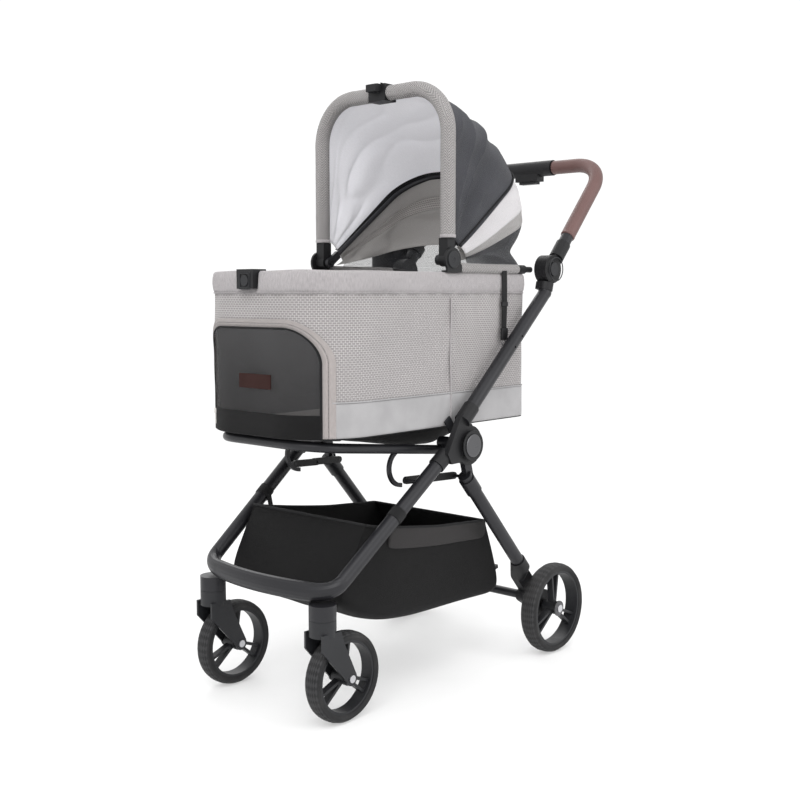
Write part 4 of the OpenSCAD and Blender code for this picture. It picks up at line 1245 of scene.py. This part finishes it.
# %% Basket
FLOOR_LINE = (
    (-0.2115, 0.3475),
    (-0.238, 0.300),
    (-0.262, 0.256),
    (-0.2765, 0.227),
    (-0.272, 0.211),
    (-0.255, 0.199),
    (-0.215, 0.178),
    (-0.175, 0.162),
    (-0.136, 0.1525),
    (-0.06, 0.146),
    (0.02, 0.1445),
    (0.09, 0.143),
    (0.15, 0.141),
    (0.190, 0.1395),
    (0.1985, 0.152),
    (0.190, 0.180),
    (0.178, 0.215),
    (0.162, 0.254),
    (0.143, 0.302),
)
EDGE_LINE = (
    (-0.2105, 0.347),
    (-0.2085, 0.3465),
    (-0.206, 0.346),
    (-0.202, 0.345),
    (-0.196, 0.343),
    (-0.188, 0.3415),
    (-0.170, 0.338),
    (-0.145, 0.334),
    (-0.115, 0.329),
    (-0.060, 0.321),
    (-0.005, 0.314),
    (0.045, 0.310),
    (0.085, 0.307),
    (0.108, 0.305),
    (0.120, 0.3045),
    (0.128, 0.304),
    (0.134, 0.3035),
    (0.139, 0.3027),
    (0.1425, 0.302),
)
SIDE_STEPS = ((0.0, 0), (0.12, 0), (0.25, 0), (0.38, 0), (0.51, 0), (0.64, 0), (0.76, 0), (0.87, 0.004))
SIDE_STEPS += ((0.94, 0.022), (0.98, 0.06), (1.0, 0.12), (1.0, 0.22), (1.0, 0.33), (1.0, 0.44), (1.0, 0.55))
SIDE_STEPS += ((1.0, 0.66), (1.0, 0.77), (1.0, 0.88), (1.0, 0.94), (1.0, 1.0))
steps = [(-x, f) for x, f in reversed(SIDE_STEPS[1:])] + list(SIDE_STEPS)
rows, cloth = [], []
for n, ((yb, zb), (ys, zs)) in enumerate(zip(FLOOR_LINE, EDGE_LINE)):
    inner = math.sin(math.pi * n / (len(FLOOR_LINE) - 1))
    row, flat, length = [], [], 0.0
    for m, (x, f) in enumerate(steps):
        y, z = yb + (ys - yb) * f, zb + (zs - zb) * f
        sag = 0.007 * inner * max(0.0, 1 - abs(x)) ** 0.5 * (f < 0.01)
        slackness = inner * math.sin(math.pi * f) if f > 0 else inner * 0.5
        dent = 0.007 * slackness * (0.6 + ripple(y * 9, z * 8, 2.0 + (x > 0)))
        side_x = 0.1525 * x - math.copysign(dent, x) * (f > 0)
        point = at(side_x, y, max(0.1375, z - sag + 0.003 * inner * ripple(x * 4, y * 14, 9.0) * (f < 0.01)))
        length += (point - row[-1]).length if row else 0.0
        row.append(point)
        flat.append((length, n * 0.045))
    rows.append(row)
    cloth.append(flat)
tub = sewn("basket_cloth", rows, cloth, [black_cloth], lambda p: at(0, -0.02, 0.29))
modify(tub, "SUBSURF", levels=2, render_levels=2)
thick(tub, 0.0018)
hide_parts("basket")

edge = [row[0] for row in rows] + [p for p in rows[-1][1:-1:2]] + [row[-1] for row in reversed(rows)]
edge += [p for p in reversed(rows[0][1:-1:2])]


def smooth_path(points, per=4):
    """Rounds a closed path of points by Catmull-Rom arcs."""
    out = []
    for n in range(len(points)):
        a, b, c, d = (points[(n + k - 1) % len(points)] for k in range(4))
        for i in range(per):
            t = i / per
            bend, twist = 2 * a - 5 * b + 4 * c - d, 3 * b - a - 3 * c + d
            out.append(0.5 * (2 * b + (c - a) * t + bend * t * t + twist * t**3))
    return out


hem = hose("basket_hem", smooth_path(edge, 3), 0.0028, binding, sides=8, closed=True)
parts = [hem]
for side, word in BOTH:
    top = [row[-1 if side > 0 else 0] for row in rows[7:]]
    below = [row[-4 if side > 0 else 3] for row in rows[7:]]
    lift = Vector((side * 0.0022, 0, 0))
    shares = (0, 0.33, 0.66, 1.0)
    strip_rows = [[a.lerp(b, s) + lift for a, b in zip(top, below)] for s in shares]
    strip_map = [[(0.008 * j, 0.05 * i) for i in range(len(top))] for j in range(4)]
    strip = sewn(f"basket_elastic_{word}", strip_rows, strip_map, [elastic], lambda p: at(0, -0.02, 0.29))
    modify(strip, "SUBSURF", levels=2, render_levels=2)
    parts.append(thick(strip, 0.0014))
for side, word in BOTH:
    leg_a, leg_b = at(side * 0.190, -0.028, 0.462), at(side * 0.172, -0.290, 0.262)
    way = (leg_b - leg_a).normalized()
    middle = leg_a.lerp(leg_b, 0.5)
    ring = [middle + way * d for d in (-0.011, -0.0105, -0.004, 0.004, 0.0105, 0.011)]
    loop = hose(f"basket_loop_{word}", ring, 0.0151, webbing, sides=24)
    parts.append(loop)
    tab = [middle + Vector((-side * 0.013, 0, -0.004))]
    tab += [at(side * 0.156, -0.165, 0.339), at(side * 0.1535, -0.165, 0.325)]
    sideways = Vector((1, 0, 0))
    parts.append(hose(f"basket_tab_{word}", tab, 0.0075, webbing, inside=sideways, sides=8, flat=0.2))
for piece in [tub, *parts]:
    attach(piece, "frame")
    if "loop" not in piece.name and "tab" not in piece.name:
        at(0, -0.27, 0.2)
        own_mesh(piece)
print("basket:", len(tub.data.polygons), "faces,", len(parts), "trims")

# %% [markdown]
# Small moulded parts finish the joints: caps on the hubs and wheels and over the canopy's pivots,
# a ring round each handle joint, and welts where sleeves end. A cap is a cylinder whose outer face is inset
# and pushed in or out, step by step, as it would be turned on a lathe.


# %% Caps and rings
def face_way(made, centre, way):
    """Turns a piece made along Z to face way and puts it at centre."""
    made.data.transform(Vector(way).to_track_quat("Z", "Y").to_matrix().to_4x4())
    made.data.transform(Matrix.Translation(centre))


def turned(name, centre, way, radius, depth, steps, finish, body, sides=48):
    """A cap facing way, with its outer face inset and pushed by each (inset, push) of steps."""
    clear()
    bpy.ops.mesh.primitive_cylinder_add(vertices=sides, radius=radius, depth=depth)
    made = bpy.context.object
    made.name = name
    for inset, push in steps:
        select(made, lambda c, n: n.z > 0.9 and math.hypot(c.x, c.y) < 1e-4)
        bpy.ops.mesh.inset(thickness=inset)
        bpy.ops.transform.translate(value=(0, 0, push))
        bpy.ops.object.mode_set(mode="OBJECT")
    face_way(made, centre, way)
    made.data.materials.append(finish.material)
    modify(made, "BEVEL", width=radius * 0.03, segments=2, limit_method="ANGLE", angle_limit=0.5)
    made.data.shade_smooth()
    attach(made, body)
    return made


def ring(name, centre, way, radius, thin, finish, body):
    """A round ring facing way."""
    clear()
    bpy.ops.mesh.primitive_torus_add(
        major_radius=radius, minor_radius=thin, major_segments=64, minor_segments=12
    )
    made = bpy.context.object
    made.name = name
    face_way(made, centre, way)
    made.data.materials.append(finish.material)
    made.data.shade_smooth()
    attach(made, body)
    return made


for side, word in BOTH:
    low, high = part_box(f"hub_{word}")
    face = high.x if side > 0 else low.x
    hub = at(0, 0.022, 0.475)
    spot = Vector((face, hub.y, hub.z))
    out = Vector((side, 0, 0))
    steps = ((0.003, -0.0008), (0.004, -0.0004))
    turned(f"hub_rim_{word}", spot, out, 0.030, 0.003, steps, black_plastic, "frame")
    steps = ((0.003, 0.0006), (0.008, -0.0008))
    turned(f"hub_disc_{word}", spot + out * 0.0006, out, 0.0222, 0.003, steps, disc_steel, "frame")
    low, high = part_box("handle_joints")
    face = high.x if side > 0 else low.x
    joint = at(0, JOINT_Y, JOINT_Z)
    spot = Vector((face - side * 0.0004, joint.y, joint.z))
    ring(f"joint_ring_{word}", spot, out, 0.0242, 0.0011, grey_plastic, "handle")
    low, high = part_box("rim_fittings")
    face = high.x if side > 0 else low.x
    spot = at(0, 0, PIVOT_Z)
    turned(
        f"pivot_cap_{word}",
        Vector((face + side * 0.0006, spot.y, spot.z)),
        out,
        0.0165,
        0.003,
        ((0.002, 0.0006), (0.006, -0.0012), (0.004, 0.0010), (0.0015, -0.0014)),
        grey_plastic,
        "rim",
    )
    welt_path = [at(side * 0.169, 0, PIVOT_Z + 0.0415 + d) for d in (0, 0.001, 0.003, 0.005, 0.006)]
    hose(f"sleeve_welt_{word}", welt_path, 0.01545, rim_weave, sides=24, body="hoop")
    for end in ("front", "rear"):
        low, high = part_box(f"{end}_wheel_{word}")
        y, z = (low.y + high.y) / 2, (low.z + high.z) / 2
        for facing, x in ((1, high.x), (-1, low.x)):
            if end == "front" or facing == side:
                turned(
                    f"{end}_cap_{word}_{'out' if facing == side else 'in'}",
                    Vector((x - facing * 0.0012, y, z)),
                    (facing, 0, 0),
                    0.0125 if end == "front" else 0.0165,
                    0.0032,
                    ((0.0025, -0.0006), (0.003, 0.0010)),
                    disc_steel if end == "rear" else grey_plastic,
                    f"{end}_wheel_{word}",
                )

# %% [markdown]
# The buckle in the front of the rim has two raised square frames, and the latch on the hoop has
# ribs for the thumb. A frame is a plane inset once, its middle deleted and the rim drawn out, and
# each rib is a small bevelled block.

# %% Buckle frame and latch ribs
low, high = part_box("rim_buckle")
for n, (size, raise_by) in enumerate(((0.031, 0.0012), (0.0255, 0.0018))):
    clear()
    bpy.ops.mesh.primitive_plane_add(size=size)
    made = bpy.context.object
    made.name = f"buckle_frame_{n}"
    bpy.ops.object.mode_set(mode="EDIT")
    bpy.ops.mesh.select_all(action="SELECT")
    bpy.ops.mesh.inset(thickness=0.0016)
    bpy.ops.mesh.delete(type="FACE")
    bpy.ops.mesh.select_all(action="SELECT")
    bpy.ops.mesh.extrude_region_move(TRANSFORM_OT_translate={"value": (0, 0, raise_by)})
    bpy.ops.mesh.select_all(action="SELECT")
    bpy.ops.mesh.normals_make_consistent(inside=False)
    bpy.ops.object.mode_set(mode="OBJECT")
    modify(made, "BEVEL", width=0.0004, segments=2, limit_method="ANGLE")
    face_way(made, (MID, low.y + 0.0004, 0.788), (0, -1, 0))
    made.data.materials.append(grey_plastic.material)
    made.data.shade_smooth()
    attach(made, "rim")
low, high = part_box("hoop_latch")
for n in range(4):
    spot = (MID + (n - 1.5) * 0.010, (low.y + high.y) / 2, high.z + 0.0001)
    block(f"latch_rib_{n}", spot, (0.0022, 0.026, 0.0016), black_plastic, "hoop", 0.0005)
print("buckle frame and latch ribs")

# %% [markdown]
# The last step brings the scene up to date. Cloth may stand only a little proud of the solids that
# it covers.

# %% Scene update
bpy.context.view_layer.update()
